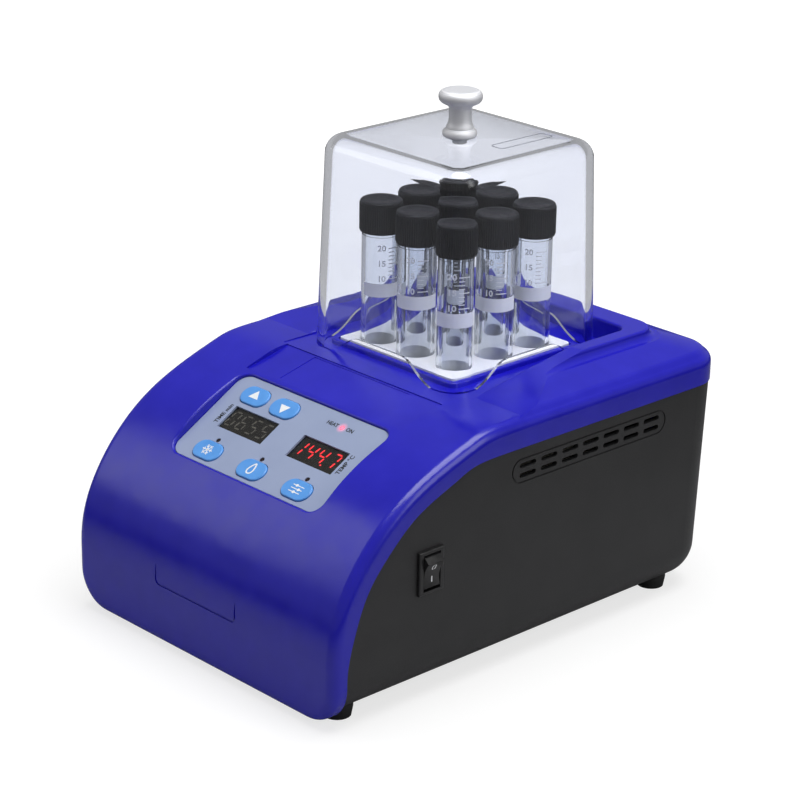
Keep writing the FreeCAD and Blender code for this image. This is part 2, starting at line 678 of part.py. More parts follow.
def side_vents():
    cuts = []
    reach = BASE_WALL + 2.0
    field = (VENT_COUNT - 1) * VENT_PITCH + VENT_LENGTH + 2 * VENT_BORDER
    tall = VENT_ROW_GAP + VENT_HEIGHT + VENT_BORDER
    for side in (-1, 1):
        x0, x1 = sorted((side * (BASE_HALF - reach), side * (BASE_HALF + 1.0)))
        for row in (-0.5, 0.5):
            for i in range(VENT_COUNT):
                y = BLOCK_Y + (i - (VENT_COUNT - 1) / 2) * VENT_PITCH
                cuts.append(slot(VENT_LENGTH, VENT_HEIGHT, x0, x1, y, VENT_Z + row * VENT_ROW_GAP))
        g0, g1 = sorted((side * (BASE_HALF - VENT_GROOVE_DEPTH), side * (BASE_HALF + 1.0)))
        ring = slot(field, tall, g0, g1, BLOCK_Y, VENT_Z)
        core = slot(field - 2 * VENT_GROOVE, tall - 2 * VENT_GROOVE, g0, g1, BLOCK_Y, VENT_Z)
        cuts.append(ring.cut(core))
    return cuts


def floor_vents():
    """Air slots in the tub floor under the heating block."""
    cuts = []
    for i in range(FLOOR_VENT_COUNT):
        x = (i - (FLOOR_VENT_COUNT - 1) / 2) * VENT_PITCH
        cuts.append(box(x - VENT_HEIGHT / 2, x + VENT_HEIGHT / 2,
                        BLOCK_Y - FLOOR_VENT_LENGTH / 2, BLOCK_Y + FLOOR_VENT_LENGTH / 2,
                        BASE_BOTTOM_Z - 1.0, BASE_BOTTOM_Z + BASE_WALL + 1.0))
    return cuts


def base_shell():
    outer, inner = base_body(0.0), base_body(BASE_WALL)
    shell = outer.cut(inner).common(below_parting(-PARTING_GAP))
    inset = COVER_WALL - BASE_INSET + LIP_CLEARANCE
    lip = base_body(inset).cut(base_body(inset + LIP_WALL))
    lip = lip.common(below_parting(LIP_HEIGHT)).cut(below_parting(-LIP_HEIGHT / 2))
    bosses, holes = [], []
    for centre, split in foot_points().values():
        stub = rod(BOSS_R, V(centre.x, centre.y, 0), V(centre.x, centre.y, split - PARTING_GAP))
        bosses.append(stub.common(base_body(BASE_WALL / 2)))
        holes.append(rod(SCREW_R + SCREW_CLEARANCE, V(centre.x, centre.y, 0), V(centre.x, centre.y, split)))
    shell = fuse([shell, lip] + bosses + board_feet())
    y, z = FRONT_Y + SWITCH_INSET, SWITCH_Z
    hw = SWITCH_WIDTH / 2 - SWITCH_FLANGE + SNAP_CLEARANCE
    hh = SWITCH_HEIGHT / 2 - SWITCH_FLANGE + SNAP_CLEARANCE
    switch_hole = box(BASE_HALF - BASE_WALL - 1.0, BASE_HALF + 1.0, y - hw, y + hw, z - hh, z + hh)
    iw = INLET_WIDTH / 2 - INLET_LAP + SNAP_CLEARANCE
    ih = INLET_HEIGHT / 2 - INLET_LAP + SNAP_CLEARANCE
    inlet_hole = on_rear(box(-iw, iw, -ih, ih, -BASE_WALL - 3.0, 3.0))
    return cut(shell, holes + [switch_hole, inlet_hole] + side_vents() + floor_vents())


def foot(centre):
    """Rubber foot that follows the rounded floor of the tub and hides its screw in a pocket."""
    high = BASE_BOTTOM_Z + FOOT_GRIP
    bore, pocket, top = SCREW_R + SCREW_CLEARANCE, SCREW_HEAD_R + FOOT_POCKET_CLEARANCE, FOOT_R + FOOT_FLARE
    blank = revolve([(bore, FOOT_POCKET), (pocket, FOOT_POCKET), (pocket, 0), (FOOT_R, 0),
                     (top, BASE_BOTTOM_Z), (top, high), (bore, high)], centre)
    return blank.cut(base_body(0.0))


def foot_screws():
    screws = []
    for centre, split in foot_points().values():
        head = rod(SCREW_HEAD_R, centre + Z * (FOOT_POCKET - SCREW_HEAD_HEIGHT), centre + Z * FOOT_POCKET)
        shank = rod(SCREW_R, centre + Z * (FOOT_POCKET - SCREW_HEAD_HEIGHT / 2), centre + Z * (split + SCREW_GRIP))
        screws.append(head.fuse(shank).removeSplitter())
    return Part.makeCompound(screws)


def key_centres():
    x, p = LOWER_KEY_X, LOWER_KEY_PITCH
    return {"key_up": (UPPER_KEY_X[0], UPPER_KEY_ROW), "key_down": (UPPER_KEY_X[1], UPPER_KEY_ROW),
            "key_cool": (x - p, LOWER_KEY_ROW), "key_digest": (x, LOWER_KEY_ROW),
            "key_custom": (x + p, LOWER_KEY_ROW)}


def led_centres():
    x, p = LOWER_KEY_X, LOWER_KEY_PITCH
    return [(x - p, LED_ROW), (x, LED_ROW), (x + p, LED_ROW), (HEAT_LED_X, HEAT_LED_ROW)]


def key_blank(x, y, grow, low, high):
    """Oval key outline in the panel's own frame, before it is placed."""
    a, b = KEY_LENGTH / 2 + grow, KEY_WIDTH / 2 + grow
    return rounded_plate(x - a, x + a, y - b, y + b, low, high, b - 0.2)


def keypad_overlay():
    sheet = rounded_plate(-PANEL_WIDTH / 2, PANEL_WIDTH / 2, -PANEL_LENGTH / 2, PANEL_LENGTH / 2,
                          -OVERLAY_THICKNESS, 0.0, PANEL_CORNER_R)
    holes = [key_blank(x, y, KEY_CLEARANCE, -2.0, 1.0) for x, y in key_centres().values()]
    for side in (-1, 1):
        x = side * DISPLAY_X
        holes.append(box(x - DISPLAY_WIDTH / 2, x + DISPLAY_WIDTH / 2, DISPLAY_ROW - DISPLAY_HEIGHT / 2,
                         DISPLAY_ROW + DISPLAY_HEIGHT / 2, -2.0, 1.0))
    holes += [rod(LED_R + LED_CLEARANCE, V(x, y, -2.0), V(x, y, 1.0)) for x, y in led_centres()]
    return on_panel(sheet.cut(holes))


def key(x, y):
    """Domed key in its oval hole."""
    blank = key_blank(x, y, 0.0, -OVERLAY_THICKNESS, KEY_RISE)
    rim = [e for e in blank.Edges if bounded(e, ZMin=KEY_RISE, ZMax=KEY_RISE)]
    return on_panel(blank.makeFillet(KEY_RISE * 0.85, rim))


def display_filter():
    half = DISPLAY_X + DISPLAY_WIDTH / 2 + FILTER_BORDER
    tall = DISPLAY_HEIGHT / 2 + FILTER_BORDER
    low = -OVERLAY_THICKNESS - FILTER_THICKNESS
    return on_panel(box(-half, half, DISPLAY_ROW - tall, DISPLAY_ROW + tall, low, -OVERLAY_THICKNESS))


def display_module(x):
    """Four-digit module that stands on the board behind its window."""
    low, high = -BOARD_DROP, -OVERLAY_THICKNESS - FILTER_THICKNESS
    half, tall = DISPLAY_WIDTH / 2 - MODULE_CLEARANCE, DISPLAY_HEIGHT / 2 - MODULE_CLEARANCE
    body = box(x - half, x + half, DISPLAY_ROW - tall, DISPLAY_ROW + tall, low, high)
    digits = []
    for i in range(4):
        cx = x + (i - 1.5) * half / 2
        digits.append(box(cx - DIGIT_WIDTH / 2, cx + DIGIT_WIDTH / 2, DISPLAY_ROW - DIGIT_HEIGHT / 2,
                          DISPLAY_ROW + DIGIT_HEIGHT / 2, high - DIGIT_RECESS, high + 1.0))
    return on_panel(body.cut(digits))


def display_board():
    half, tall = PANEL_WIDTH / 2 - BOARD_INSET, PANEL_LENGTH / 2 - BOARD_INSET
    low, high = -BOARD_DROP - BOARD_THICKNESS, -BOARD_DROP
    board = [box(-half, half, -tall, tall, low, high)]
    a = TACT_SIZE / 2
    for x, y in key_centres().values():
        board.append(box(x - a, x + a, y - a, y + a, high, high + TACT_HEIGHT))
        board.append(rod(TACT_STEM_R, V(x, y, high), V(x, y, -OVERLAY_THICKNESS - KEY_TRAVEL - TACT_GAP)))
    for x, y, width, depth, tall_part in (RIBBON_PLUG, DISPLAY_DRIVER):
        board.append(box(x, x + width, y, y + depth, low - tall_part, low))
    return on_panel(fuse(board))


def indicator_leds():
    lamps = []
    for x, y in led_centres():
        lamp = rod(LED_R, V(x, y, -BOARD_DROP), V(x, y, -LED_SUNK))
        lamps.append(on_panel(lamp))
    return Part.makeCompound(lamps)


def switch_axis():
    return V(BASE_HALF - ROCKER_AXIS_DEPTH, FRONT_Y + SWITCH_INSET, SWITCH_Z)


def switch_housing():
    """Snap-in rocker housing: bezel outside, open box inside, two blade terminals."""
    c, face = switch_axis(), BASE_HALF
    hw, hh = SWITCH_WIDTH / 2, SWITCH_HEIGHT / 2
    outside = face + SWITCH_BEZEL
    bezel = box(face, outside, c.y - hw, c.y + hw, c.z - hh, c.z + hh)
    sides = [dict(YMin=y, YMax=y) for y in (c.y - hw, c.y + hw)] + [dict(ZMin=z, ZMax=z) for z in (c.z - hh, c.z + hh)]
    bezel = round_edges(bezel, SWITCH_EDGE_R, *[dict(XMin=outside, XMax=outside, **side) for side in sides])
    bw, bh = hw - SWITCH_FLANGE, hh - SWITCH_FLANGE
    back = face - SWITCH_DEPTH
    body = box(back, face, c.y - bw, c.y + bw, c.z - bh, c.z + bh)
    blades = [box(back - TERMINAL_LENGTH, back, c.y - TERMINAL_THICKNESS / 2, c.y + TERMINAL_THICKNESS / 2,
                  c.z + s * TERMINAL_PITCH / 2 - TERMINAL_WIDTH / 2, c.z + s * TERMINAL_PITCH / 2 + TERMINAL_WIDTH / 2)
              for s in (-1, 1)]
    pw, ph = hw - SWITCH_CHEEK, hh - SWITCH_END_WALL
    pocket = box(face - SWITCH_POCKET_DEPTH, outside + 1.0, c.y - pw, c.y + pw, c.z - ph, c.z + ph)
    reach = pw + SWITCH_PIN_REACH + SWITCH_PIN_END_GAP
    pins = rod(SWITCH_PIN_R + RUNNING_CLEARANCE, c - Y * reach, c + Y * reach)
    return cut(fuse([bezel, body] + blades), [pocket, pins])


def switch_rocker():
    """Two-faced rocker on its cross pin, with its lower half pressed in."""
    c = switch_axis()
    h = SWITCH_HEIGHT / 2 - SWITCH_END_WALL - ROCKER_END_GAP
    w = SWITCH_WIDTH / 2 - SWITCH_CHEEK - ROCKER_SIDE_GAP
    upper = [(-ROCKER_EDGE_BACK, h), (ROCKER_EDGE_FRONT, h), (ROCKER_CREST, h - ROCKER_CREST_INSET)]
    lower = [(x, -z) for x, z in reversed(upper)]
    side = [(-ROCKER_BACK, 0.0)] + upper + [(ROCKER_VALLEY, 0.0)] + lower
    body = prism([c + V(x, -w, z) for x, z in side], Y * (2 * w))
    reach = w + ROCKER_SIDE_GAP + SWITCH_PIN_REACH
    rocker = body.fuse(rod(SWITCH_PIN_R, c - Y * reach, c + Y * reach)).removeSplitter()
    rocker.rotate(c, Y, SWITCH_THROW_DEG)
    return rocker


def fuse_row():
    return -INLET_HEIGHT / 2 + FUSE_MARGIN + FUSE_HEIGHT / 2


def inlet_blade_places():
    """Two line blades side by side and the earth blade above them, in the frame of the inlet's face."""
    y = INLET_HEIGHT / 2 - INLET_WELL_TOP_GAP - INLET_WELL_HEIGHT / 2
    return [(-INLET_BLADE_PITCH / 2, y), (INLET_BLADE_PITCH / 2, y), (0.0, y + INLET_BLADE_RISE)]


def inlet_socket():
    """Snap-in mains inlet with three blades and a slot for the fuse drawer."""
    iw, ih = INLET_WIDTH / 2, INLET_HEIGHT / 2
    flange = rounded_plate(-iw, iw, -ih, ih, 0.0, INLET_FLANGE, INLET_CORNER_R)
    body = box(-iw + INLET_LAP, iw - INLET_LAP, -ih + INLET_LAP, ih - INLET_LAP, -INLET_DEPTH, 0.0)
    half, top, deep = INLET_WELL_WIDTH / 2, ih - INLET_WELL_TOP_GAP, -INLET_WELL_DEPTH
    low, bevel = top - INLET_WELL_HEIGHT, INLET_WELL_CHAMFER
    outline = [(-half, top), (half, top), (half, low + bevel), (half - bevel, low), (bevel - half, low),
               (-half, low + bevel)]
    well = prism([V(x, y, deep) for x, y in outline], Z * (INLET_WELL_DEPTH + INLET_FLANGE + 1.0))
    gap = FUSE_CLEARANCE
    drawer = box(-FUSE_WIDTH / 2 - gap, FUSE_WIDTH / 2 + gap, fuse_row() - FUSE_HEIGHT / 2 - gap,
                 fuse_row() + FUSE_HEIGHT / 2 + gap, -FUSE_LENGTH - gap, INLET_FLANGE + 1.0)
    metal = []
    for x, y in inlet_blade_places():
        metal.append(box(x - INLET_BLADE_WIDTH / 2, x + INLET_BLADE_WIDTH / 2, y - INLET_BLADE_HEIGHT / 2,
                         y + INLET_BLADE_HEIGHT / 2, -INLET_DEPTH + 1.0, -INLET_BLADE_SUNK))
        metal.append(box(x - TERMINAL_THICKNESS / 2, x + TERMINAL_THICKNESS / 2, y - TERMINAL_WIDTH / 2,
                         y + TERMINAL_WIDTH / 2, -INLET_DEPTH - TERMINAL_LENGTH, -INLET_DEPTH))
    return on_rear(fuse([cut(fuse([flange, body]), [well, drawer])] + metal))


def fuse_drawer():
    """Small drawer for the fuse, flush with the inlet flange and with a nail grip on its face."""
    y, half, tall = fuse_row(), FUSE_WIDTH / 2, FUSE_HEIGHT / 2
    tray = box(-half, half, y - tall, y + tall, -FUSE_LENGTH, INLET_FLANGE)
    trough = box(FUSE_WALL - half, half - FUSE_WALL, y - tall + FUSE_WALL, y + tall + 1.0,
                 FUSE_WALL - FUSE_LENGTH, -FUSE_FRONT)
    grip = box(-FUSE_GRIP_WIDTH / 2, FUSE_GRIP_WIDTH / 2, y - tall - 1.0, y - tall + FUSE_GRIP_DEPTH,
               INLET_FLANGE - FUSE_GRIP_DEPTH, INLET_FLANGE + 1.0)
    return on_rear(tray.cut([trough, grip]))


def control_rect():
    """Edges of the control board on the tub floor."""
    y0 = BASE_FRONT_Y + CONTROL_FRONT_GAP
    y1 = BLOCK_Y - BLOCK_SIZE / 2 - JACKET_WALL - CONTROL_REAR_GAP
    return -CONTROL_HALF_WIDTH, CONTROL_HALF_WIDTH, y0, y1


def board_feet():
    """Moulded posts in the tub floor that carry the control board."""
    x0, x1, y0, y1 = control_rect()
    low, high = BASE_BOTTOM_Z + BASE_WALL / 2, BASE_BOTTOM_Z + BASE_WALL + STANDOFF_HEIGHT
    a = STANDOFF_INSET
    return [rod(STANDOFF_R, V(x, y, low), V(x, y, high)) for x in (x0 + a, x1 - a) for y in (y0 + a, y1 - a)]


def control_board():
    """Printed board with transformer, heat sink, relay, capacitors and terminals."""
    x0, x1, y0, y1 = control_rect()
    low = BASE_BOTTOM_Z + BASE_WALL + STANDOFF_HEIGHT
    top = low + BOARD_THICKNESS
    left, front, lift, width, depth, height = HEAT_SINK_FIN
    fins = [(left, front + i * FIN_PITCH, lift, width, depth, height) for i in range(FIN_COUNT)]
    parts = [box(x0, x1, y0, y1, low, top)]
    for left, front, lift, width, depth, height in [TRANSFORMER_CORE, TRANSFORMER_COIL, RELAY, TERMINAL_STRIP,
                                                    HEAT_SINK] + fins:
        parts.append(box(x0 + left, x0 + left + width, y0 + front, y0 + front + depth, top + lift, top + lift + height))
    parts += [rod(CAPACITOR_R, V(x0 + x, y0 + y, top), V(x0 + x, y0 + y, top + CAPACITOR_HEIGHT))
              for x, y in CAPACITOR_PLACES]
    return fuse(parts)


def tube_places():
    """Row and column centres with the tube radius of each: slim ones on one diagonal."""
    places = []
    for row in range(3):
        for column in range(3):
            slim = row + column == 2
            centre = V((column - 1) * WELL_PITCH, BLOCK_Y + (row - 1) * WELL_PITCH, 0)
            places.append((centre, SLIM_TUBE_R if slim else WIDE_TUBE_R))
    return places


def block_top():
    return PLATE_TOP_Z - PLATE_THICKNESS


def well_bottom():
    return block_top() - WELL_DEPTH


def wells(low, high):
    return [rod(r + WELL_CLEARANCE, c + Z * low, c + Z * high) for c, r in tube_places()]


def heater_rods(grow, extra):
    """Cartridge axes under the wells, between the rows of wells."""
    z = well_bottom() - HEATER_R - HEATER_DROP
    front = BLOCK_Y - BLOCK_SIZE / 2
    return [rod(HEATER_R + grow, V(x, front - extra, z), V(x, front + HEATER_LENGTH, z))
            for x in (-WELL_PITCH / 2, WELL_PITCH / 2)]


def sensor_rod(grow, extra):
    z = well_bottom() - SENSOR_R - SENSOR_DROP
    front = BLOCK_Y - BLOCK_SIZE / 2
    return rod(SENSOR_R + grow, V(0, front - extra, z), V(0, front + SENSOR_LENGTH, z))


def heater_block():
    half = BLOCK_SIZE / 2
    top = block_top()
    body = rounded_plate(-half, half, BLOCK_Y - half, BLOCK_Y + half, top - BLOCK_HEIGHT, top, BLOCK_CORNER_R)
    bores = heater_rods(HEATER_CLEARANCE, 1.0) + [sensor_rod(HEATER_CLEARANCE, 1.0)]
    return cut(body, wells(well_bottom(), top + 1.0) + bores)


def block_top_plate():
    half = BLOCK_SIZE / 2
    slab = rounded_plate(-half, half, BLOCK_Y - half, BLOCK_Y + half, block_top(), PLATE_TOP_Z, BLOCK_CORNER_R)
    return cut(slab, wells(block_top() - 1.0, PLATE_TOP_Z + 1.0))


def insulation_jacket():
    """Thick box of insulation round the block, notched at the front for its leads."""
    inner, outer = BLOCK_SIZE / 2 + BLOCK_GAP, BLOCK_SIZE / 2 + JACKET_WALL
    low = block_top() - BLOCK_HEIGHT - JACKET_FLOOR
    high = BASIN_FLOOR_Z - COVER_WALL
    jacket = rounded_plate(-outer, outer, BLOCK_Y - outer, BLOCK_Y + outer, low, high, JACKET_CORNER_R)
    room = box(-inner, inner, BLOCK_Y - inner, BLOCK_Y + inner, low + JACKET_FLOOR, high + 1.0)
    leads = box(-LEAD_NOTCH_WIDTH / 2, LEAD_NOTCH_WIDTH / 2, BLOCK_Y - outer - 1.0, BLOCK_Y - inner + 1.0,
                low + JACKET_FLOOR, well_bottom() + LEAD_NOTCH_RISE)
    return cut(jacket, [room, leads])


def block_bracket():
    """Folded sheet carrier that holds the jacket off the tub floor."""
    half = BLOCK_SIZE / 2 + JACKET_WALL + BRACKET_SIDE_GAP
    tall = BLOCK_SIZE / 2 + JACKET_WALL - BRACKET_END_INSET
    top = block_top() - BLOCK_HEIGHT - JACKET_FLOOR
    low, t = BASE_BOTTOM_Z + BASE_WALL, BRACKET_THICKNESS
    reach = half + BRACKET_FLANGE
    left = [(-half, top), (-half, low + t), (-reach, low + t), (-reach, low), (t - half, low), (t - half, top - t)]
    right = [(-x, z) for x, z in reversed(left)]
    carrier = prism([V(x, BLOCK_Y - tall, z) for x, z in left + right], Y * (2 * tall))
    lightening = rod(LIGHTENING_R, V(0, BLOCK_Y, top - 2 * t), V(0, BLOCK_Y, top + t))
    return carrier.cut(lightening)


def mouth_z():
    return well_bottom() + TUBE_SEAT_GAP + TUBE_LENGTH


def tube(centre, radius):
    """Round-bottomed glass tube with a narrower neck under its cap."""
    low, high = well_bottom() + TUBE_SEAT_GAP, mouth_z()
    neck, shoulder = radius - NECK_STEP, high - CAP_OVERLAP - SHOULDER_GAP
    bore = radius - TUBE_WALL

    def outline(r, z0, z1):
        body = rod(r, centre + Z * (z0 + r), centre + Z * z1)
        return body.fuse(Part.makeSphere(r, centre + Z * (z0 + r)))

    blank = outline(radius, low, shoulder).fuse(rod(neck, centre + Z * (shoulder - 1), centre + Z * high))
    return blank.cut(outline(bore - NECK_STEP, low + TUBE_WALL + NECK_STEP, high + 1)).removeSplitter()


def cap(centre, radius):
    """Closed screw cap; its thread is left off."""
    neck = radius - NECK_STEP + CAP_CLEARANCE
    seat = mouth_z() + LINER_THICKNESS
    low, high = mouth_z() - CAP_OVERLAP, seat + CAP_TOP
    outer = radius + CAP_OUT
    return revolve([(neck, low), (outer - CAP_RIM, low), (outer, low + CAP_RIM), (outer, high - CAP_CHAMFER),
                    (outer - CAP_CHAMFER, high), (0, high), (0, seat), (neck, seat)], centre)


def liner(centre, radius):
    r = radius - NECK_STEP
    return rod(r, centre + Z * mouth_z(), centre + Z * (mouth_z() + LINER_THICKNESS))


def hood_body(inset):
    """Tapered square dome, shrunk by inset, with its base left open when inset."""
    low = BASIN_FLOOR_Z - (1.0 if inset else 0.0)
    high = HOOD_TOP_Z - inset
    taper = (HOOD_BASE_HALF - HOOD_TOP_HALF) / (HOOD_TOP_Z - BASIN_FLOOR_Z)
    sections = []
    for z in (low, high):
        half = HOOD_BASE_HALF - inset - (z - BASIN_FLOOR_Z) * taper
        slab = rounded_plate(-half, half, BLOCK_Y - half, BLOCK_Y + half, z, z + 1, HOOD_CORNER_R - inset)
        sections.append(min(slab.Faces, key=lambda f: f.CenterOfMass.z).OuterWire)
    body = Part.makeLoft(sections, True, True)
    rim = [e for e in body.Edges if bounded(e, ZMin=high, ZMax=high)]
    return body.makeFillet(HOOD_DOME_R - inset, rim)


def rim_arch():
    """Cutter for the arched gap between two feet of the hood."""
    t, b, h = RIM_ARCH_TOP_HALF, RIM_ARCH_BASE_HALF, RIM_ARCH_HEIGHT
    low = BASIN_FLOOR_Z - 1.0
    lean = (b - t) / h
    points = [V(-b - lean, -FAR / 4, low), V(b + lean, -FAR / 4, low),
              V(t, -FAR / 4, BASIN_FLOOR_Z + h), V(-t, -FAR / 4, BASIN_FLOOR_Z + h)]
    cutter = prism(points, Y * (FAR / 2))
    top = BASIN_FLOOR_Z + h
    return round_edges(cutter, RIM_ARCH_CORNER_R, *[dict(XMin=x, XMax=x, ZMin=top, ZMax=top) for x in (-t, t)])


def hood():
    shell = hood_body(0.0).cut(hood_body(HOOD_WALL))
    along = rim_arch()
    sideways = along.copy()
    sideways.rotate(V(0, 0, 0), Z, 90)
    for cutter in (along, sideways):
        cutter.translate(Y * BLOCK_Y)
    hole = rod(KNOB_SCREW_R + HOOD_HOLE_CLEARANCE, V(0, BLOCK_Y, HOOD_TOP_Z - HOOD_WALL - 1), V(0, BLOCK_Y, HOOD_TOP_Z + 1))
    return cut(shell, [along, sideways, hole])


def hood_knob():
    """Turned knob: flared base, waisted neck and flat disc."""
    start = V(0, BLOCK_Y, HOOD_TOP_Z)
    bore, deep = KNOB_SCREW_R + KNOB_BORE_CLEARANCE, KNOB_SCREW_GRIP + 0.5
    base, neck, disc = KNOB_BASE_R, KNOB_NECK_R, KNOB_DISC_R
    top, under = KNOB_HEIGHT, KNOB_HEIGHT - KNOB_DISC_HEIGHT
    edge, flare, throat = KNOB_BASE_EDGE, KNOB_FLARE_HEIGHT, under - KNOB_UNDERCUT

    def line(*points):
        places = [start + V(r, 0, z) for r, z in points]
        return [Part.LineSegment(a, b).toShape() for a, b in zip(places, places[1:])]

    def arc(*points):
        return [Part.Arc(*[start + V(r, 0, z) for r, z in points]).toShape()]

    outline = line((bore, 0), (base, 0), (base, edge))
    outline += arc((base, edge), (neck + (base - neck) / 4, edge + (flare - edge) / 3), (neck, flare))
    outline += line((neck, flare), (neck, throat))
    outline += arc((neck, throat), (neck + 0.9, under - 0.9), (neck + KNOB_UNDERCUT, under))
    outline += line((neck + KNOB_UNDERCUT, under), (disc - 0.8, under + 0.4))
    outline += arc((disc - 0.8, under + 0.4), (disc, (under + top) / 2), (disc - 1.6, top - 0.5))
    outline += line((disc - 1.6, top - 0.5), (disc - 3.6, top), (0, top), (0, deep), (bore, deep), (bore, 0))
    return Part.Face(Part.Wire(outline)).revolve(start, Z, 360)


def knob_screw():
    """Screw and washer that hold the knob from inside the hood."""
    seat = HOOD_TOP_Z - HOOD_WALL
    start = V(0, BLOCK_Y, 0)
    under = seat - WASHER_THICKNESS
    washer = rod(WASHER_R, start + Z * under, start + Z * seat)
    head = rod(KNOB_SCREW_HEAD_R, start + Z * (under - KNOB_SCREW_HEAD_HEIGHT), start + Z * (under + 0.1))
    shank = rod(KNOB_SCREW_R, start + Z * under, start + Z * (HOOD_TOP_Z + KNOB_SCREW_GRIP))
    return fuse([washer, head, shank])


def build():
    nodes = {"top_cover": top_cover(), "base_shell": base_shell()}
    for name, (centre, _) in foot_points().items():
        nodes["foot_" + name] = foot(centre)
    nodes["foot_screws"] = foot_screws()
    nodes["keypad_overlay"] = keypad_overlay()
    for name, (x, y) in key_centres().items():
        nodes[name] = key(x, y)
    nodes["display_filter"] = display_filter()
    nodes["display_board"] = display_board()
    nodes["timer_display"] = display_module(-DISPLAY_X)
    nodes["temperature_display"] = display_module(DISPLAY_X)
    nodes["indicator_leds"] = indicator_leds()
    nodes["switch_housing"] = switch_housing()
    nodes["switch_rocker"] = switch_rocker()
    nodes["inlet_socket"] = inlet_socket()
    nodes["fuse_drawer"] = fuse_drawer()
    nodes["control_board"] = control_board()
    nodes["heater_block"] = heater_block()
    nodes["block_top_plate"] = block_top_plate()
    nodes["insulation_jacket"] = insulation_jacket()
    for name, shape in zip(("heater_cartridge_left", "heater_cartridge_right"), heater_rods(0.0, HEATER_OUT)):
        nodes[name] = shape
    nodes["temperature_sensor"] = sensor_rod(0.0, SENSOR_OUT)
    nodes["block_bracket"] = block_bracket()
    nodes["hood"] = hood()
    nodes["hood_knob"] = hood_knob()
    nodes["knob_screw"] = knob_screw()
    for number, (centre, radius) in enumerate(tube_places(), 1):
        nodes["tube_%d" % number] = tube(centre, radius)
        nodes["cap_%d" % number] = cap(centre, radius)
        nodes["liner_%d" % number] = liner(centre, radius)
    return nodes


def centred(nodes):
    """Moves the whole part sideways until the origin is under the middle of its outline."""
    right = max(corner.X for corner in nodes["switch_rocker"].Vertexes)
    return {name: shape.translated(X * (WIDTH / 2 - right) / 2) for name, shape in nodes.items()}


os.makedirs("parts", exist_ok=True)
for node, shape in centred(build()).items():
    shape.exportStep("parts/%s.step" % node)
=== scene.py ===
import bmesh
import bpy
import json
import math
from mathutils import Matrix, Vector


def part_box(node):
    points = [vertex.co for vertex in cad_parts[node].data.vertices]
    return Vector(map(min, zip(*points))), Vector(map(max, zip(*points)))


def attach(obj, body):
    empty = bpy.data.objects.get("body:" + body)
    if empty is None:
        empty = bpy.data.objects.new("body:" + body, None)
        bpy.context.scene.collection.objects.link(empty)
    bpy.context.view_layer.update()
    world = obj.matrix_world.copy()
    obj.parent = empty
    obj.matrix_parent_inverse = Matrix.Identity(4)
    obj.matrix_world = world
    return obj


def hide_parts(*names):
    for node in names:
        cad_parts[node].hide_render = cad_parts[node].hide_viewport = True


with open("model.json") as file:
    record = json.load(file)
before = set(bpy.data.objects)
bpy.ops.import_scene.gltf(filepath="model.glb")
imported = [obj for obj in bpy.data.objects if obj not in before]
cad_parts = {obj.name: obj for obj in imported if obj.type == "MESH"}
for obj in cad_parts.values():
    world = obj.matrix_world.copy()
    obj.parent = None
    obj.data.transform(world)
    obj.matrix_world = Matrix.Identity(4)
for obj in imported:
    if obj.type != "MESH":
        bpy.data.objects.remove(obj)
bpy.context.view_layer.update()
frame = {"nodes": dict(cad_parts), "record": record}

MM = 0.001
cover_low, cover_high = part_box("top_cover")
MIDDLE_X = (cover_low.x + cover_high.x) / 2

# Places and sizes that the dressing shares with the solids, in mm, about the cover's plane of symmetry
PANEL_CENTRE = (0.0, -79.0441, 99.2786)
PANEL_TILT = 29.8459
KEY_TOP = 0.8
KEYS = {"key_up": (-34.6, 17.0), "key_down": (-13.6, 17.0), "key_cool": (-31.7, -19.2),
        "key_digest": (-0.3, -19.2), "key_custom": (31.1, -19.2)}
HEAT_LED = (23.8, 19.6)
DISPLAY_X, DISPLAY_ROW = 24.3, 2.4
DIGIT_PITCH = 7.4
SEGMENT_TOP = -1.51
BLOCK_Y = 32.5
WELL_PITCH = 25.1
SLIM_R, WIDE_R = 7.7, 9.2
TUBE_MOUTH = 190.0
HOOD_TOP = 225.0
PLATE_TOP = 123.7
SWITCH_AXIS = (90.4, -70.3, 63.4)
SWITCH_THROW = 12.0
INLET_CENTRE = (-48.0, 124.09, 48.0)
INLET_LEAN = 3.2


def at(x, y, z):
    """A point of the object, from mm about the cover's plane of symmetry."""
    return Vector((x * MM + MIDDLE_X, y * MM, z * MM))


def alone(piece=None):
    """Leaves edit mode and deselects everything, then selects only this piece."""
    if bpy.context.object and bpy.context.object.mode != "OBJECT":
        bpy.ops.object.mode_set(mode="OBJECT")
    bpy.ops.object.select_all(action="DESELECT")
    if piece:
        piece.select_set(True)
        bpy.context.view_layer.objects.active = piece


def pick(kind, wanted):
    """In edit mode, selects the faces, edges or corners whose middle in mm, and normal for faces, are wanted."""
    bpy.ops.mesh.select_mode(type={"faces": "FACE", "edges": "EDGE", "verts": "VERT"}[kind])
    bpy.ops.mesh.select_all(action="DESELECT")
    shape = bmesh.from_edit_mesh(bpy.context.object.data)
    for part in getattr(shape, kind):
        if kind == "faces":
            chosen = wanted(part.calc_center_median() / MM, part.normal)
        elif kind == "edges":
            chosen = wanted(part.verts[0].co / MM, part.verts[1].co / MM)
        else:
            chosen = wanted(part.co / MM)
        if chosen:
            part.select_set(True)
    shape.select_flush_mode()
    bmesh.update_edit_mesh(bpy.context.object.data)


def begin(add_primitive, name, **sizes):
    """Adds a primitive, names it and opens it in edit mode."""
    alone()
    add_primitive(**sizes)
    piece = bpy.context.object
    piece.name = piece.data.name = name
    bpy.ops.object.transform_apply(location=True, rotation=True, scale=True)
    bpy.ops.object.mode_set(mode="EDIT")
    return piece


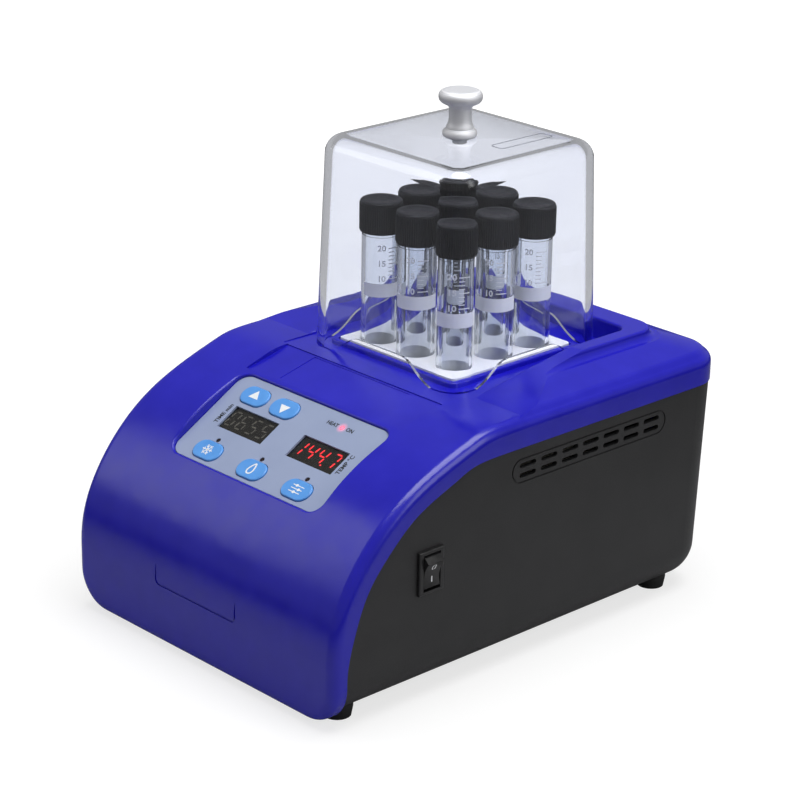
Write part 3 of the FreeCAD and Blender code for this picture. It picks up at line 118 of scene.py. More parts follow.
def settle(piece, place=Matrix.Identity(4), smooth=None):
    """Leaves edit mode, moves the piece to its place in its mesh and shades its shallow edges smooth."""
    alone(piece)
    piece.matrix_world = place
    bpy.ops.object.transform_apply(location=True, rotation=True, scale=True)
    if smooth:
        bpy.ops.object.shade_smooth_by_angle(angle=math.radians(smooth))
    return piece


def push(x=0.0, y=0.0, z=0.0):
    """Extrudes what is selected by some mm."""
    bpy.ops.mesh.extrude_region_move(TRANSFORM_OT_translate={"value": (x * MM, y * MM, z * MM)})


def shift(x=0.0, y=0.0, z=0.0):
    """Moves what is selected by some mm."""
    bpy.ops.transform.translate(value=(x * MM, y * MM, z * MM))


def slice_at(point, normal):
    """Cuts the whole mesh along a plane and keeps both sides."""
    bpy.ops.mesh.select_all(action="SELECT")
    bpy.ops.mesh.bisect(plane_co=[c * MM for c in point], plane_no=normal)


def join(name, pieces):
    """Makes one piece of several."""
    alone(pieces[0])
    for piece in pieces:
        piece.select_set(True)
    bpy.ops.object.join()
    pieces[0].name = pieces[0].data.name = name
    return pieces[0]


def copied(piece, name):
    """A copy with a mesh of its own."""
    twin = bpy.data.objects.new(name, piece.data.copy())
    twin.data.name = name
    bpy.context.scene.collection.objects.link(twin)
    return twin


def finished(piece, body, slot, finish, *nodes):
    """Gives a piece its finish, its body and the CAD nodes that it stands for."""
    piece.data.materials.clear()
    piece.data.materials.append(finish)
    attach(piece, body)
    if nodes:
        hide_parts(*nodes)
    return piece


# Frames of the carrying surfaces: x across, y up the surface, z out of it
PANEL = Matrix.Translation(at(*PANEL_CENTRE)) @ Matrix.Rotation(math.radians(PANEL_TILT), 4, "X")
ROCKER = Matrix.Translation(at(*SWITCH_AXIS)) @ Matrix.Rotation(math.radians(SWITCH_THROW), 4, "Y")
REAR = (Matrix.Translation(at(*INLET_CENTRE)) @ Matrix.Rotation(math.radians(-90 - INLET_LEAN), 4, "X")
        @ Matrix.Rotation(math.pi, 4, "Z"))


# Finishes

def linear(code):
    """Linear colour from an sRGB hex value."""
    parts = [int(code[i:i + 2], 16) / 255 for i in (0, 2, 4)]
    return (*[c / 12.92 if c <= 0.04045 else ((c + 0.055) / 1.055) ** 2.4 for c in parts], 1.0)


def add(tree, kind, inputs=None, **settings):
    """Adds a shader node with its settings, and its inputs as values or as links from other nodes."""
    node = tree.nodes.new(kind)
    for key, value in settings.items():
        setattr(node, key, value)
    for key, value in (inputs or {}).items():
        if isinstance(value, bpy.types.NodeSocket):
            tree.links.new(value, node.inputs[key])
        else:
            node.inputs[key].default_value = value
    return node


def surface(name, **constants):
    """A material with its shader set to constants, and its place on the object in mm for patterns."""
    made = bpy.data.materials.new(name)
    made.use_nodes = True
    tree = made.node_tree
    shader = tree.nodes["Principled BSDF"]
    for key, value in constants.items():
        shader.inputs[key.replace("_", " ")].default_value = value
    spot = add(tree, "ShaderNodeTexCoord").outputs["Object"]
    spot = add(tree, "ShaderNodeVectorMath", {0: spot, 1: (1000, 1000, 1000)}, operation="MULTIPLY").outputs[0]
    return made, tree, shader, spot


def speckle(tree, spot, size, detail=2.0):
    """Noise whose lumps are about size mm wide."""
    return add(tree, "ShaderNodeTexNoise", {"Vector": spot, "Scale": 1 / size, "Detail": detail}).outputs[0]


def between(tree, share, low, high, start=0.3, end=0.7):
    """A value from low to high as share runs from start to end."""
    return add(tree, "ShaderNodeMapRange", {"Value": share, "From Min": start, "From Max": end, "To Min": low,
                                            "To Max": high}).outputs[0]


def ridges(tree, spot, gap, distortion, **settings):
    """Straight waves gap mm apart."""
    return add(tree, "ShaderNodeTexWave", {"Vector": spot, "Scale": math.pi / 10 / gap, "Distortion": distortion},
               **settings).outputs[1]


def tinted(tree, shader, share, one, other, *sockets):
    """Base colour, and other colours named, that wander between two hex colours."""
    mix = add(tree, "ShaderNodeMix", {0: share, 6: linear(one), 7: linear(other)}, data_type="RGBA")
    for socket in ("Base Color", *sockets):
        tree.links.new(mix.outputs[2], shader.inputs[socket])


def textured(tree, shader, height, depth, strength=1.0):
    """Relief depth mm deep."""
    bump = add(tree, "ShaderNodeBump", {"Height": height, "Distance": depth * MM, "Strength": strength})
    tree.links.new(bump.outputs[0], shader.inputs["Normal"])


def rough(tree, shader, share, low, high):
    """Roughness from low to high along a pattern."""
    tree.links.new(between(tree, share, low, high), shader.inputs["Roughness"])


def moulded_gloss_abs():
    """Deep blue ABS from a polished mould: soft reflections with a faint flow wave and fine orange peel."""
    made, tree, shader, spot = surface("moulded_gloss_abs", IOR=1.53)
    flow = speckle(tree, spot, 14.0)
    tinted(tree, shader, between(tree, flow, 0, 1), "1814b2", "1c18ba")
    rough(tree, shader, flow, 0.18, 0.27)
    textured(tree, shader, speckle(tree, spot, 0.9, 1.0), 0.012)
    return made


def grained_black_abs():
    """Black ABS from a spark-eroded mould: an even fine grain that greys the light. Grain 0.6 mm, so that it shows."""
    made, tree, shader, spot = surface("grained_black_abs", IOR=1.5)
    grain = speckle(tree, spot, 0.6, 3.0)
    tinted(tree, shader, between(tree, speckle(tree, spot, 22.0), 0, 1), "232324", "282829")
    rough(tree, shader, grain, 0.44, 0.56)
    textured(tree, shader, grain, 0.05)
    return made


def moulded_rubber():
    """Black rubber foot: dull, with a dusty bloom in patches."""
    made, tree, shader, spot = surface("moulded_rubber", IOR=1.52)
    bloom = speckle(tree, spot, 3.0)
    tinted(tree, shader, between(tree, bloom, 0, 1), "0f0f10", "1a1a1b")
    rough(tree, shader, bloom, 0.7, 0.85)
    textured(tree, shader, speckle(tree, spot, 0.4), 0.03)
    return made


def printed_polyester_film():
    """Blue-grey film printed from behind: an even colour under a fine satin grain of 0.5 mm, with a painted pink glow
    of the lamp's light round the lamp.
    """
    made, tree, shader, spot = surface("printed_polyester_film", IOR=1.57)
    # Painted glow: the film itself gives off pink light within about 3 mm of the lamp, standing in for the lamp's
    # light falling on it
    lamp = PANEL @ Vector((HEAT_LED[0] * MM, HEAT_LED[1] * MM, 0)) / MM
    away = add(tree, "ShaderNodeVectorMath", {0: spot, 1: lamp}, operation="DISTANCE").outputs["Value"]
    tree.links.new(between(tree, away, 0.55, 0.0, 1.3, 3.1), shader.inputs["Emission Strength"])
    shader.inputs["Emission Color"].default_value = linear("ff5a78")
    tinted(tree, shader, between(tree, speckle(tree, spot, 18.0), 0, 1), "98a5c5", "9eabca")
    grain = speckle(tree, spot, 0.5)
    rough(tree, shader, grain, 0.34, 0.44)
    textured(tree, shader, grain, 0.012)
    return made


def printed_key_film():
    """Light blue domed key of the same film: satin, its tone a little uneven."""
    made, tree, shader, spot = surface("printed_key_film", IOR=1.57)
    tinted(tree, shader, between(tree, speckle(tree, spot, 6.0), 0, 1), "559cea", "60a6f2")
    grain = speckle(tree, spot, 0.5)
    rough(tree, shader, grain, 0.3, 0.4)
    textured(tree, shader, grain, 0.012)
    return made


def white_ink():
    """Screen-printed white: flat, with pinholes of the mesh at 0.4 mm."""
    made, tree, shader, spot = surface("white_ink", IOR=1.5)
    mesh = speckle(tree, spot, 0.4)
    tinted(tree, shader, between(tree, mesh, 0, 1), "eef1f6", "ffffff")
    rough(tree, shader, mesh, 0.45, 0.6)
    return made


def dark_ink():
    """Screen-printed dark grey on the film."""
    made, tree, shader, spot = surface("dark_ink", IOR=1.5)
    mesh = speckle(tree, spot, 0.4)
    tinted(tree, shader, between(tree, mesh, 0, 1), "1c1e22", "262a30")
    rough(tree, shader, mesh, 0.45, 0.6)
    return made


def smoked_acrylic():
    """Smoked display window: clear enough for a lit digit, nearly black otherwise."""
    made, tree, shader, spot = surface("smoked_acrylic", IOR=1.49, Transmission_Weight=1.0)
    haze = speckle(tree, spot, 5.0)
    tinted(tree, shader, between(tree, haze, 0, 1), "8a8886", "959391")
    rough(tree, shader, haze, 0.03, 0.08)
    return made


def segment_glow():
    """Lit red segment: bright core, a little uneven along each bar."""
    made, tree, shader, spot = surface("segment_glow", Roughness=0.4, Emission_Strength=5.0)
    along = speckle(tree, spot, 1.5)
    tinted(tree, shader, between(tree, along, 0, 1), "ff2430", "ff3b40", "Emission Color")
    return made


def segment_unlit():
    """Unlit segment: milky epoxy that shows as a ghost behind the smoked window."""
    made, tree, shader, spot = surface("segment_unlit", IOR=1.55)
    cloud = speckle(tree, spot, 0.8)
    tinted(tree, shader, between(tree, cloud, 0, 1), "a5a59c", "b4b4ab")
    rough(tree, shader, cloud, 0.4, 0.55)
    return made


def display_case():
    """Black face of the display module, faintly grained."""
    made, tree, shader, spot = surface("display_case", IOR=1.5)
    grain = speckle(tree, spot, 0.5)
    tinted(tree, shader, between(tree, grain, 0, 1), "1a1a19", "20201f")
    rough(tree, shader, grain, 0.5, 0.65)
    return made


def dark_epoxy_lens():
    """Unlit lamp: dark red epoxy dome that looks nearly black."""
    made, tree, shader, spot = surface("dark_epoxy_lens", IOR=1.55)
    cloud = speckle(tree, spot, 0.7)
    tinted(tree, shader, between(tree, cloud, 0, 1), "1d1216", "281519")
    rough(tree, shader, cloud, 0.12, 0.22)
    return made


def lit_epoxy_lens():
    """Lit lamp: hot pink-white core in red epoxy."""
    made, tree, shader, spot = surface("lit_epoxy_lens", Roughness=0.25, IOR=1.55, Emission_Strength=2.2)
    cloud = speckle(tree, spot, 0.7)
    tinted(tree, shader, between(tree, cloud, 0, 1), "ff4a66", "ff6b80", "Emission Color")
    return made


def solder_mask():
    """Green board lacquer over copper tracks: glossy, with a slight relief."""
    made, tree, shader, spot = surface("solder_mask", IOR=1.5)
    tracks = speckle(tree, spot, 2.5, 0.0)
    tinted(tree, shader, between(tree, tracks, 0, 1, 0.45, 0.55), "0d4a2a", "136039")
    rough(tree, shader, tracks, 0.25, 0.4)
    textured(tree, shader, tracks, 0.03)
    return made


def moulded_nylon():
    """Black nylon of the switch and inlet: satin, with faint flow marks."""
    made, tree, shader, spot = surface("moulded_nylon", IOR=1.53)
    flow = speckle(tree, spot, 4.0)
    tinted(tree, shader, between(tree, flow, 0, 1), "151516", "1d1d1e")
    rough(tree, shader, flow, 0.28, 0.42)
    textured(tree, shader, speckle(tree, spot, 0.4), 0.01)
    return made


def machined_aluminium():
    """Milled block: bright, with tool lines 1.6 mm apart."""
    made, tree, shader, spot = surface("machined_aluminium", Metallic=1.0)
    lines = ridges(tree, spot, 1.579, 1.5)
    tinted(tree, shader, between(tree, lines, 0, 1), "c5c6c8", "d2d3d5")
    rough(tree, shader, lines, 0.28, 0.4)
    textured(tree, shader, lines, 0.01)
    return made


def turned_aluminium():
    """Satin turned knob: fine rings round its axis, 0.7 mm apart, that draw the light out sideways."""
    made, tree, shader, spot = surface("turned_aluminium", Metallic=1.0)
    centred = add(tree, "ShaderNodeMapping", {"Vector": spot, "Location": (-MIDDLE_X / MM, -BLOCK_Y, 0.0)}).outputs[0]
    rings = ridges(tree, centred, 0.6909, 0.4, wave_type="BANDS", bands_direction="Z")
    tinted(tree, shader, between(tree, rings, 0, 1), "eeeff3", "f6f6f9")
    rough(tree, shader, rings, 0.6, 0.7)
    textured(tree, shader, rings, 0.004)
    return made


def plated_steel():
    """Zinc-plated or drawn steel: cool grey with cloudy plating."""
    made, tree, shader, spot = surface("plated_steel", Metallic=1.0)
    cloud = speckle(tree, spot, 2.0)
    tinted(tree, shader, between(tree, cloud, 0, 1), "a9abae", "b9bbbe")
    rough(tree, shader, cloud, 0.25, 0.42)
    return made


def nickel_brass():
    """Nickel-plated brass blades: warm silver, lightly scratched."""
    made, tree, shader, spot = surface("nickel_brass", Metallic=1.0)
    scratch = ridges(tree, spot, 0.5236, 6.0)
    tinted(tree, shader, between(tree, scratch, 0, 1), "c9c5b8", "d6d2c6")
    rough(tree, shader, scratch, 0.18, 0.3)
    return made


def baked_enamel():
    """White enamel on the well plate: bright satin with a soft ripple."""
    made, tree, shader, spot = surface("baked_enamel", IOR=1.5)
    ripple = speckle(tree, spot, 3.0)
    tinted(tree, shader, between(tree, ripple, 0, 1), "f2f4fa", "fbfcff")
    rough(tree, shader, ripple, 0.3, 0.42)
    textured(tree, shader, ripple, 0.02)
    return made


def fibre_board():
    """Pressed ceramic fibre: chalky and lumpy, fibres about 1.2 mm."""
    made, tree, shader, spot = surface("fibre_board", IOR=1.45)
    fibre = speckle(tree, spot, 1.2, 4.0)
    tinted(tree, shader, between(tree, fibre, 0, 1), "c9c3b4", "ddd8cb")
    rough(tree, shader, fibre, 0.85, 0.95)
    textured(tree, shader, fibre, 0.25)
    return made


def clear_acrylic():
    """Moulded clear hood: water-clear with a cold edge tint and a long shallow mould wave."""
    made, tree, shader, spot = surface("clear_acrylic", IOR=1.45, Transmission_Weight=1.0)
    wave = speckle(tree, spot, 40.0, 1.0)
    tinted(tree, shader, between(tree, wave, 0, 1), "eef0f7", "f1f3f9")
    rough(tree, shader, wave, 0.01, 0.03)
    return made


def engraved_acrylic():
    """Engraved line in the hood: frosted, so that it greys the light behind it."""
    made, tree, shader, spot = surface("engraved_acrylic", IOR=1.49, Transmission_Weight=0.6)
    frost = speckle(tree, spot, 0.3)
    tinted(tree, shader, between(tree, frost, 0, 1), "9fa3b2", "b2b6c4")
    rough(tree, shader, frost, 0.5, 0.7)
    return made


def borosilicate_glass():
    """Drawn glass tube: clear, faintly streaked along its length."""
    made, tree, shader, spot = surface("borosilicate_glass", IOR=1.47, Transmission_Weight=1.0)
    streak = add(tree, "ShaderNodeMapping", {"Vector": spot, "Scale": (1.0, 1.0, 0.05)}).outputs[0]
    streak = speckle(tree, streak, 2.5)
    tinted(tree, shader, between(tree, streak, 0, 1), "eef2f8", "f6f8fc")
    rough(tree, shader, streak, 0.0, 0.02)
    return made


def fired_white_enamel():
    """Fired white marking on the glass: milky, with a grain of 0.3 mm at its edges."""
    made, tree, shader, spot = surface("fired_white_enamel", IOR=1.5)
    grain = speckle(tree, spot, 0.3)
    tinted(tree, shader, between(tree, grain, 0, 1), "e9edf8", "f8faff")
    rough(tree, shader, grain, 0.45, 0.6)
    return made


def ribbed_polypropylene():
    """Black screw cap: dull, with a dusty bloom that takes most of its shine."""
    made, tree, shader, spot = surface("ribbed_polypropylene", IOR=1.49, Specular_IOR_Level=0.25)
    bloom = speckle(tree, spot, 2.2, 3.0)
    tinted(tree, shader, between(tree, bloom, 0, 1), "08080e", "111118")
    rough(tree, shader, bloom, 0.42, 0.6)
    textured(tree, shader, speckle(tree, spot, 0.5), 0.03)
    return made


def faced_silicone():
    """White cap liner: soft matt silicone with a thin slick face."""
    made, tree, shader, spot = surface("faced_silicone", IOR=1.41)
    cloud = speckle(tree, spot, 1.5)
    tinted(tree, shader, between(tree, cloud, 0, 1), "e6e6e0", "f0f0ea")
    rough(tree, shader, cloud, 0.5, 0.7)
    return made


BLUE, BLACK, RUBBER, STEEL = moulded_gloss_abs(), grained_black_abs(), moulded_rubber(), plated_steel()
FILM, KEY_FILM, WHITE_INK, DARK_INK = printed_polyester_film(), printed_key_film(), white_ink(), dark_ink()
WINDOW, GLOW, GHOST, CASE = smoked_acrylic(), segment_glow(), segment_unlit(), display_case()
LENS, LIT_LENS, BOARD, NYLON = dark_epoxy_lens(), lit_epoxy_lens(), solder_mask(), moulded_nylon()
BLOCK, KNOB, BRASS, ENAMEL = machined_aluminium(), turned_aluminium(), nickel_brass(), baked_enamel()
FIBRE, ACRYLIC, ENGRAVED, GLASS = fibre_board(), clear_acrylic(), engraved_acrylic(), borosilicate_glass()
MARKING, CAP, LINER = fired_white_enamel(), ribbed_polypropylene(), faced_silicone()

SLOT_FINISH = {"cover_blue": BLUE, "tub_black": BLACK, "foot_rubber": RUBBER, "screw_steel": STEEL,
               "panel_film": FILM, "key_blue": KEY_FILM, "filter_dark": WINDOW, "display_red": CASE,
               "led_lens": LENS, "board_green": BOARD, "switch_black": NYLON, "inlet_black": NYLON,
               "block_aluminium": BLOCK, "plate_white": ENAMEL, "insulation": FIBRE, "steel": STEEL,
               "clear_acrylic": ACRYLIC, "knob_aluminium": KNOB, "tube_glass": GLASS, "cap_black": CAP,
               "liner_white": LINER}

for part in frame["record"]["subparts"]:
    frame["nodes"][part["node"]].material_slots[0].material = SLOT_FINISH[part["material_slot"]]

# Clear parts let the lamps through, as thin acrylic and glass do
for name in ["display_filter"] + ["tube_%d" % i for i in range(1, 10)]:
    frame["nodes"][name].visible_shadow = False


# Screw caps

CAP_RIBS = 60
RIB_RISE = 0.35
CAP_LOW, CAP_HIGH, CAP_SEAT = TUBE_MOUTH - 11.8, TUBE_MOUTH + 3.6, TUBE_MOUTH + 1.6
CAP_OVER_TUBE, CAP_BORE_IN = 1.3, 0.3
RIB_LOW, RIB_HIGH = CAP_LOW + 0.9, CAP_HIGH - 1.5


def screw_cap(name, outer, neck):
    """Ribs pushed out of every other facet, a rounded rim, a dished top and a bore from below."""
    core = outer - RIB_RISE
    piece = begin(bpy.ops.mesh.primitive_cylinder_add, name, vertices=2 * CAP_RIBS, radius=core * MM,
                  depth=(CAP_HIGH - CAP_LOW) * MM, location=(0, 0, (CAP_LOW + CAP_HIGH) / 2 * MM))
    for z in (RIB_LOW, RIB_HIGH):
        slice_at((0, 0, z), (0, 0, 1))
    step = math.pi / CAP_RIBS
    pick("faces", lambda c, n: abs(n.z) < 0.5 and RIB_LOW < c.z < RIB_HIGH
         and round(math.atan2(c.y, c.x) / step - 0.5) % 2 == 0)
    bpy.ops.mesh.inset(thickness=0.06 * MM, depth=RIB_RISE * MM, use_individual=True)
    pick("edges", lambda a, b: a.z > CAP_HIGH - 0.01 and b.z > CAP_HIGH - 0.01)
    bpy.ops.mesh.bevel(offset=0.9 * MM, segments=3, affect="EDGES")
    pick("faces", lambda c, n: n.z > 0.99)
    bpy.ops.mesh.inset(thickness=1.9 * MM)
    bpy.ops.mesh.inset(thickness=0.5 * MM, depth=-0.35 * MM)
    pick("faces", lambda c, n: n.z < -0.99)
    bpy.ops.mesh.inset(thickness=(core - neck) * MM)
    push(z=CAP_SEAT - CAP_LOW)
    return settle(piece, smooth=35)


def tube_places():
    """Number, centre and slimness of each tube; the slim ones stand on one diagonal."""
    for row in range(3):
        for column in range(3):
            centre = ((column - 1) * WELL_PITCH, BLOCK_Y + (row - 1) * WELL_PITCH)
            yield row * 3 + column + 1, centre, row + column == 2


wide_cap = screw_cap("cap_wide", WIDE_R + CAP_OVER_TUBE, WIDE_R - CAP_BORE_IN)
slim_cap = screw_cap("cap_slim", SLIM_R + CAP_OVER_TUBE, SLIM_R - CAP_BORE_IN)
for number, (x, y), slim in tube_places():
    cap = copied(slim_cap if slim else wide_cap, "screw_cap_piece_%d" % number)
    turn = Matrix.Rotation(math.radians(37 * number), 4, "Z")
    settle(cap, Matrix.Translation(at(x, y, 0)) @ turn)
    finished(cap, "screw_cap_%d" % number, "cap_black", CAP, "cap_%d" % number)
for spare in (wide_cap, slim_cap):
    bpy.data.objects.remove(spare)


# Fired marks on the tubes

INK_WALL = 0.06
MARK_PITCH, MARK_HEIGHT, MARK_START = 1.9, 0.45, 2.2
WIDE_PATCH, SLIM_PATCH = (147.2, 153.9), (144.5, 151.6)


def band(name, radius, low, high, start, end):
    """Part of a thin sleeve round the upright axis, from one angle to another in degrees."""
    piece = begin(bpy.ops.mesh.primitive_cylinder_add, name, vertices=120, radius=radius * MM,
                  depth=(high - low) * MM, end_fill_type="NOTHING", location=(0, 0, (low + high) / 2 * MM))
    pick("faces", lambda c, n: not start < math.degrees(math.atan2(c.y, c.x)) < end)
    bpy.ops.mesh.delete(type="FACE")
    alone(piece)
    wall = piece.modifiers.new("wall", "SOLIDIFY")
    wall.thickness, wall.offset = INK_WALL * MM, 1.0
    bpy.ops.object.modifier_apply(modifier=wall.name)
    return piece


def lettered(name, words, height, place, depth=0.05):
    """Raised print made from type, flat in x and y before it is placed."""
    alone()
    bpy.ops.object.text_add()
    piece = bpy.context.object
    piece.data.body = words
    piece.data.size = height * MM * 1.4
    piece.data.align_x, piece.data.align_y = "CENTER", "CENTER"
    piece.data.resolution_u = 3
    piece.data.extrude = depth / 2 * MM
    piece.data.offset = height * 0.035 * MM
    bpy.ops.object.convert(target="MESH")
    piece = bpy.context.object
    piece.name = piece.data.name = name
    bpy.ops.object.mode_set(mode="EDIT")
    bpy.ops.mesh.select_all(action="SELECT")
    bpy.ops.mesh.remove_doubles(threshold=0.0005 * MM)
    return settle(piece, place)


def tube_marks(name, radius, patch_low, patch_high):
    """White writing patch with graduation marks and their numbers above it, facing +X."""
    skin = radius + 0.02
    parts = [band(name, skin, patch_low, patch_high, -78, 78)]
    for i in range(9):
        z = patch_high + MARK_START + i * MARK_PITCH
        long = i % 4 == 0
        parts.append(band("mark", skin, z, z + MARK_HEIGHT, 4, 36 if long else 22))
        if long:
            stand = (Matrix.Rotation(math.radians(-18), 4, "Z") @ Matrix.Translation((skin * MM, 0, (z + 0.25) * MM))
                     @ Matrix.Rotation(math.pi / 2, 4, "Z") @ Matrix.Rotation(math.pi / 2, 4, "X"))
            parts.append(lettered("number", str(10 + 5 * (i // 4)), 2.9, stand, 0.1))
    return join(name, parts)


wide_marks = tube_marks("marks_wide", WIDE_R, *WIDE_PATCH)
slim_marks = tube_marks("marks_slim", SLIM_R, *SLIM_PATCH)
# Degrees that each tube's scale is turned from the right side
FACING = {1: -22, 2: -44, 3: -38, 4: 30, 5: -60, 6: -46, 7: 150, 8: -20, 9: -40}
for number, (x, y), slim in tube_places():
    marks = copied(slim_marks if slim else wide_marks, "tube_marks_%d" % number)
    settle(marks, Matrix.Translation(at(x, y, 0)) @ Matrix.Rotation(math.radians(FACING[number]), 4, "Z"), 30)
    finished(marks, "housing", "liner_white", MARKING)
for spare in (wide_marks, slim_marks):
    bpy.data.objects.remove(spare)


# White sleeves down the mouths of the wells: painted light, a bright lining that lightens the shade inside them

MOUTH_GAP, MOUTH_DEPTH, MOUTH_DROP = 0.2, 14.0, 0.1
for number, (x, y), slim in tube_places():
    mouth = band("well_light_sleeve_%d" % number, (SLIM_R if slim else WIDE_R) + MOUTH_GAP, PLATE_TOP - MOUTH_DEPTH,
                 PLATE_TOP - MOUTH_DROP, -181, 181)
    settle(mouth, Matrix.Translation(at(x, y, 0)), 30)
    # The sleeve takes the plate's white enamel as painted light in the wells' shade
    finished(mouth, "housing", "plate_white", ENAMEL)


# Turned knob

# Radius and height in mm of each ring, from the foot up
KNOB_RINGS = [(7.6, 0.0), (8.0, 0.35), (8.25, 1.0), (8.3, 1.8), (8.1, 2.6), (7.6, 3.3), (7.0, 3.8), (6.6, 4.1),
              (6.55, 4.5), (6.5, 5.0), (6.2, 5.6), (5.8, 6.4), (5.55, 7.4), (5.4, 8.8), (5.35, 11.0), (5.35, 12.6),
              (5.5, 13.6), (5.8, 14.5), (6.6, 15.2), (7.9, 15.8), (9.2, 16.5), (10.1, 17.5), (10.45, 18.7),
              (10.45, 19.7), (10.15, 20.8), (9.4, 21.7), (8.4, 22.2), (7.4, 22.4)]


def turned_knob():
    """Foot, neck and disc drawn up ring by ring from the foot's edge."""
    radius, z = KNOB_RINGS[0]
    piece = begin(bpy.ops.mesh.primitive_circle_add, "turned_knob", vertices=96, radius=radius * MM,
                  fill_type="NGON")
    pick("faces", lambda c, n: True)
    for wide, high in KNOB_RINGS[1:]:
        push(z=high - z)
        bpy.ops.transform.resize(value=(wide / radius, wide / radius, 1))
        radius, z = wide, high
    bpy.ops.mesh.inset(thickness=0.5 * MM)
    bpy.ops.mesh.inset(thickness=3.0 * MM)
    bpy.ops.mesh.select_all(action="SELECT")
    bpy.ops.mesh.normals_make_consistent(inside=False)
    return settle(piece, Matrix.Translation(at(0, BLOCK_Y, HOOD_TOP)), 40)


finished(turned_knob(), "hood_lid", "knob_aluminium", KNOB, "hood_knob")


# Clear hood

HOOD_LOW, HOOD_WALL = 120.5, 2.5
HOOD_FOOT, HOOD_CROWN = 50.5, 47.9
HOOD_CORNER, HOOD_BROW, INNER_CORNER, INNER_BROW = 11.0, 9.0, 10.5, 6.5
HOOD_SCREW_R = 2.3
# Arches in the hood's walls: height, then half widths at the top, the knee and the foot
ARCH_HEIGHT, ARCH_TOP, ARCH_KNEE, ARCH_FOOT, KNEE_RISE = 10.5, 18.0, 28.7, 37.0, 2.5
ARCH_TOP_R, ARCH_KNEE_R = 4.0, 3.4


def dome(name, base, top, low, high, corner, brow):
    """Tapered square dome with rounded corners and brow, about the hood's axis."""
    piece = begin(bpy.ops.mesh.primitive_cube_add, name, size=1.0)
    bpy.ops.transform.resize(value=(2 * base * MM, 2 * base * MM, (high - low) * MM))
    shift(z=(high + low) / 2)
    pick("verts", lambda v: v.z > high - 1)
    bpy.ops.transform.resize(value=(top / base, top / base, 1))
    pick("edges", lambda a, b: abs(a.z - b.z) > 50)
    bpy.ops.mesh.bevel(offset=corner * MM, segments=10, affect="EDGES")
    pick("edges", lambda a, b: a.z > high - 0.01 and b.z > high - 0.01)
    bpy.ops.mesh.bevel(offset=brow * MM, segments=8, affect="EDGES")
    return settle(piece)


def arch_cutter(name, turn):
    """Prism for the arched gaps in two opposite walls, flared at its foot so that the legs end round."""
    piece = begin(bpy.ops.mesh.primitive_cube_add, name, size=1.0)
    bpy.ops.transform.resize(value=(2 * ARCH_TOP * MM, 130 * MM, (ARCH_HEIGHT - KNEE_RISE) * MM))
    shift(z=HOOD_LOW + (ARCH_HEIGHT + KNEE_RISE) / 2)
    pick("verts", lambda v: v.z < HOOD_LOW + KNEE_RISE + 1)
    bpy.ops.transform.resize(value=(ARCH_KNEE / ARCH_TOP, 1, 1))
    pick("faces", lambda c, n: n.z < -0.9)
    push(z=-KNEE_RISE - 1)
    bpy.ops.transform.resize(value=(ARCH_FOOT / ARCH_KNEE, 1, 1))
    pick("edges", lambda a, b: abs(a.y - b.y) > 50 and a.z > HOOD_LOW + ARCH_HEIGHT - 1)
    bpy.ops.mesh.bevel(offset=ARCH_TOP_R * MM, segments=8, affect="EDGES")
    pick("edges", lambda a, b: abs(a.y - b.y) > 50 and abs(a.z - HOOD_LOW - KNEE_RISE) < 0.1)
    bpy.ops.mesh.bevel(offset=ARCH_KNEE_R * MM, segments=6, affect="EDGES")
    return settle(piece, Matrix.Rotation(math.radians(turn), 4, "Z"))


def clear_hood():
    """Outer dome hollowed by an inner one, with arches cut in the walls and a hole for the knob's screw."""
    shell = dome("clear_hood", HOOD_FOOT, HOOD_CROWN, HOOD_LOW, HOOD_TOP, HOOD_CORNER, HOOD_BROW)
    inner = dome("inner_dome", HOOD_FOOT - HOOD_WALL, HOOD_CROWN - HOOD_WALL, HOOD_LOW - 1.0,
                 HOOD_TOP - HOOD_WALL, INNER_CORNER, INNER_BROW)
    hole = begin(bpy.ops.mesh.primitive_cylinder_add, "screw_hole", vertices=32, radius=HOOD_SCREW_R * MM,
                 depth=10 * MM, location=(0, 0, HOOD_TOP * MM))
    for cutter in (inner, arch_cutter("arch_front", 0), arch_cutter("arch_side", 90), settle(hole)):
        alone(shell)
        cut = shell.modifiers.new("cut", "BOOLEAN")
        cut.operation, cut.solver, cut.object = "DIFFERENCE", "EXACT", cutter
        bpy.ops.object.modifier_apply(modifier=cut.name)
        bpy.data.objects.remove(cutter)
    shell.visible_shadow = False
    return settle(shell, Matrix.Translation(at(0, BLOCK_Y, 0)), 30)


finished(clear_hood(), "hood_lid", "clear_acrylic", ACRYLIC, "hood")


# Bare outlined field in the hood's top

FIELD_SIZE, FIELD_CORNER, FIELD_LINE, FIELD_DEPTH = (8.2, 35.0), 2.2, 0.55, 0.12
FIELD_X, FIELD_Y = 25.2, BLOCK_Y + 16.2


def outlined_field():
    """Rounded ring engraved along the right edge of the hood's top."""
    piece = begin(bpy.ops.mesh.primitive_plane_add, "hood_field", size=1.0)
    bpy.ops.transform.resize(value=(FIELD_SIZE[0] * MM, FIELD_SIZE[1] * MM, 1))
    pick("verts", lambda v: True)
    bpy.ops.mesh.bevel(offset=FIELD_CORNER * MM, segments=4, affect="VERTICES")
    pick("faces", lambda c, n: True)
    bpy.ops.mesh.inset(thickness=FIELD_LINE * MM)
    bpy.ops.mesh.delete(type="FACE")
    pick("faces", lambda c, n: True)
    push(z=FIELD_DEPTH)
    return settle(piece, Matrix.Translation(at(FIELD_X, FIELD_Y, HOOD_TOP + 0.01)))


finished(outlined_field(), "hood_lid", "clear_acrylic", ENGRAVED)


# Rocker with its marks

ROCKER_SIZE = (8.4, 9.8, 16.6)
ROCKER_CREST, ROCKER_VALLEY, HOLLOW_R = 4.4, 2.9, 14.83
ROCKER_END, ROCKER_OUT, ROCKER_BACK_TAPER = 1.6, 0.199, 1.6
ROW_GAP, ROWS_EACH_WAY = 1.3, 5
ROCKER_MARK_DEPTH = 0.08


def hollow(z):
    """How far the hollowed face stands out at a height on it."""
    return ROCKER_VALLEY + HOLLOW_R - math.sqrt(HOLLOW_R ** 2 - z ** 2)


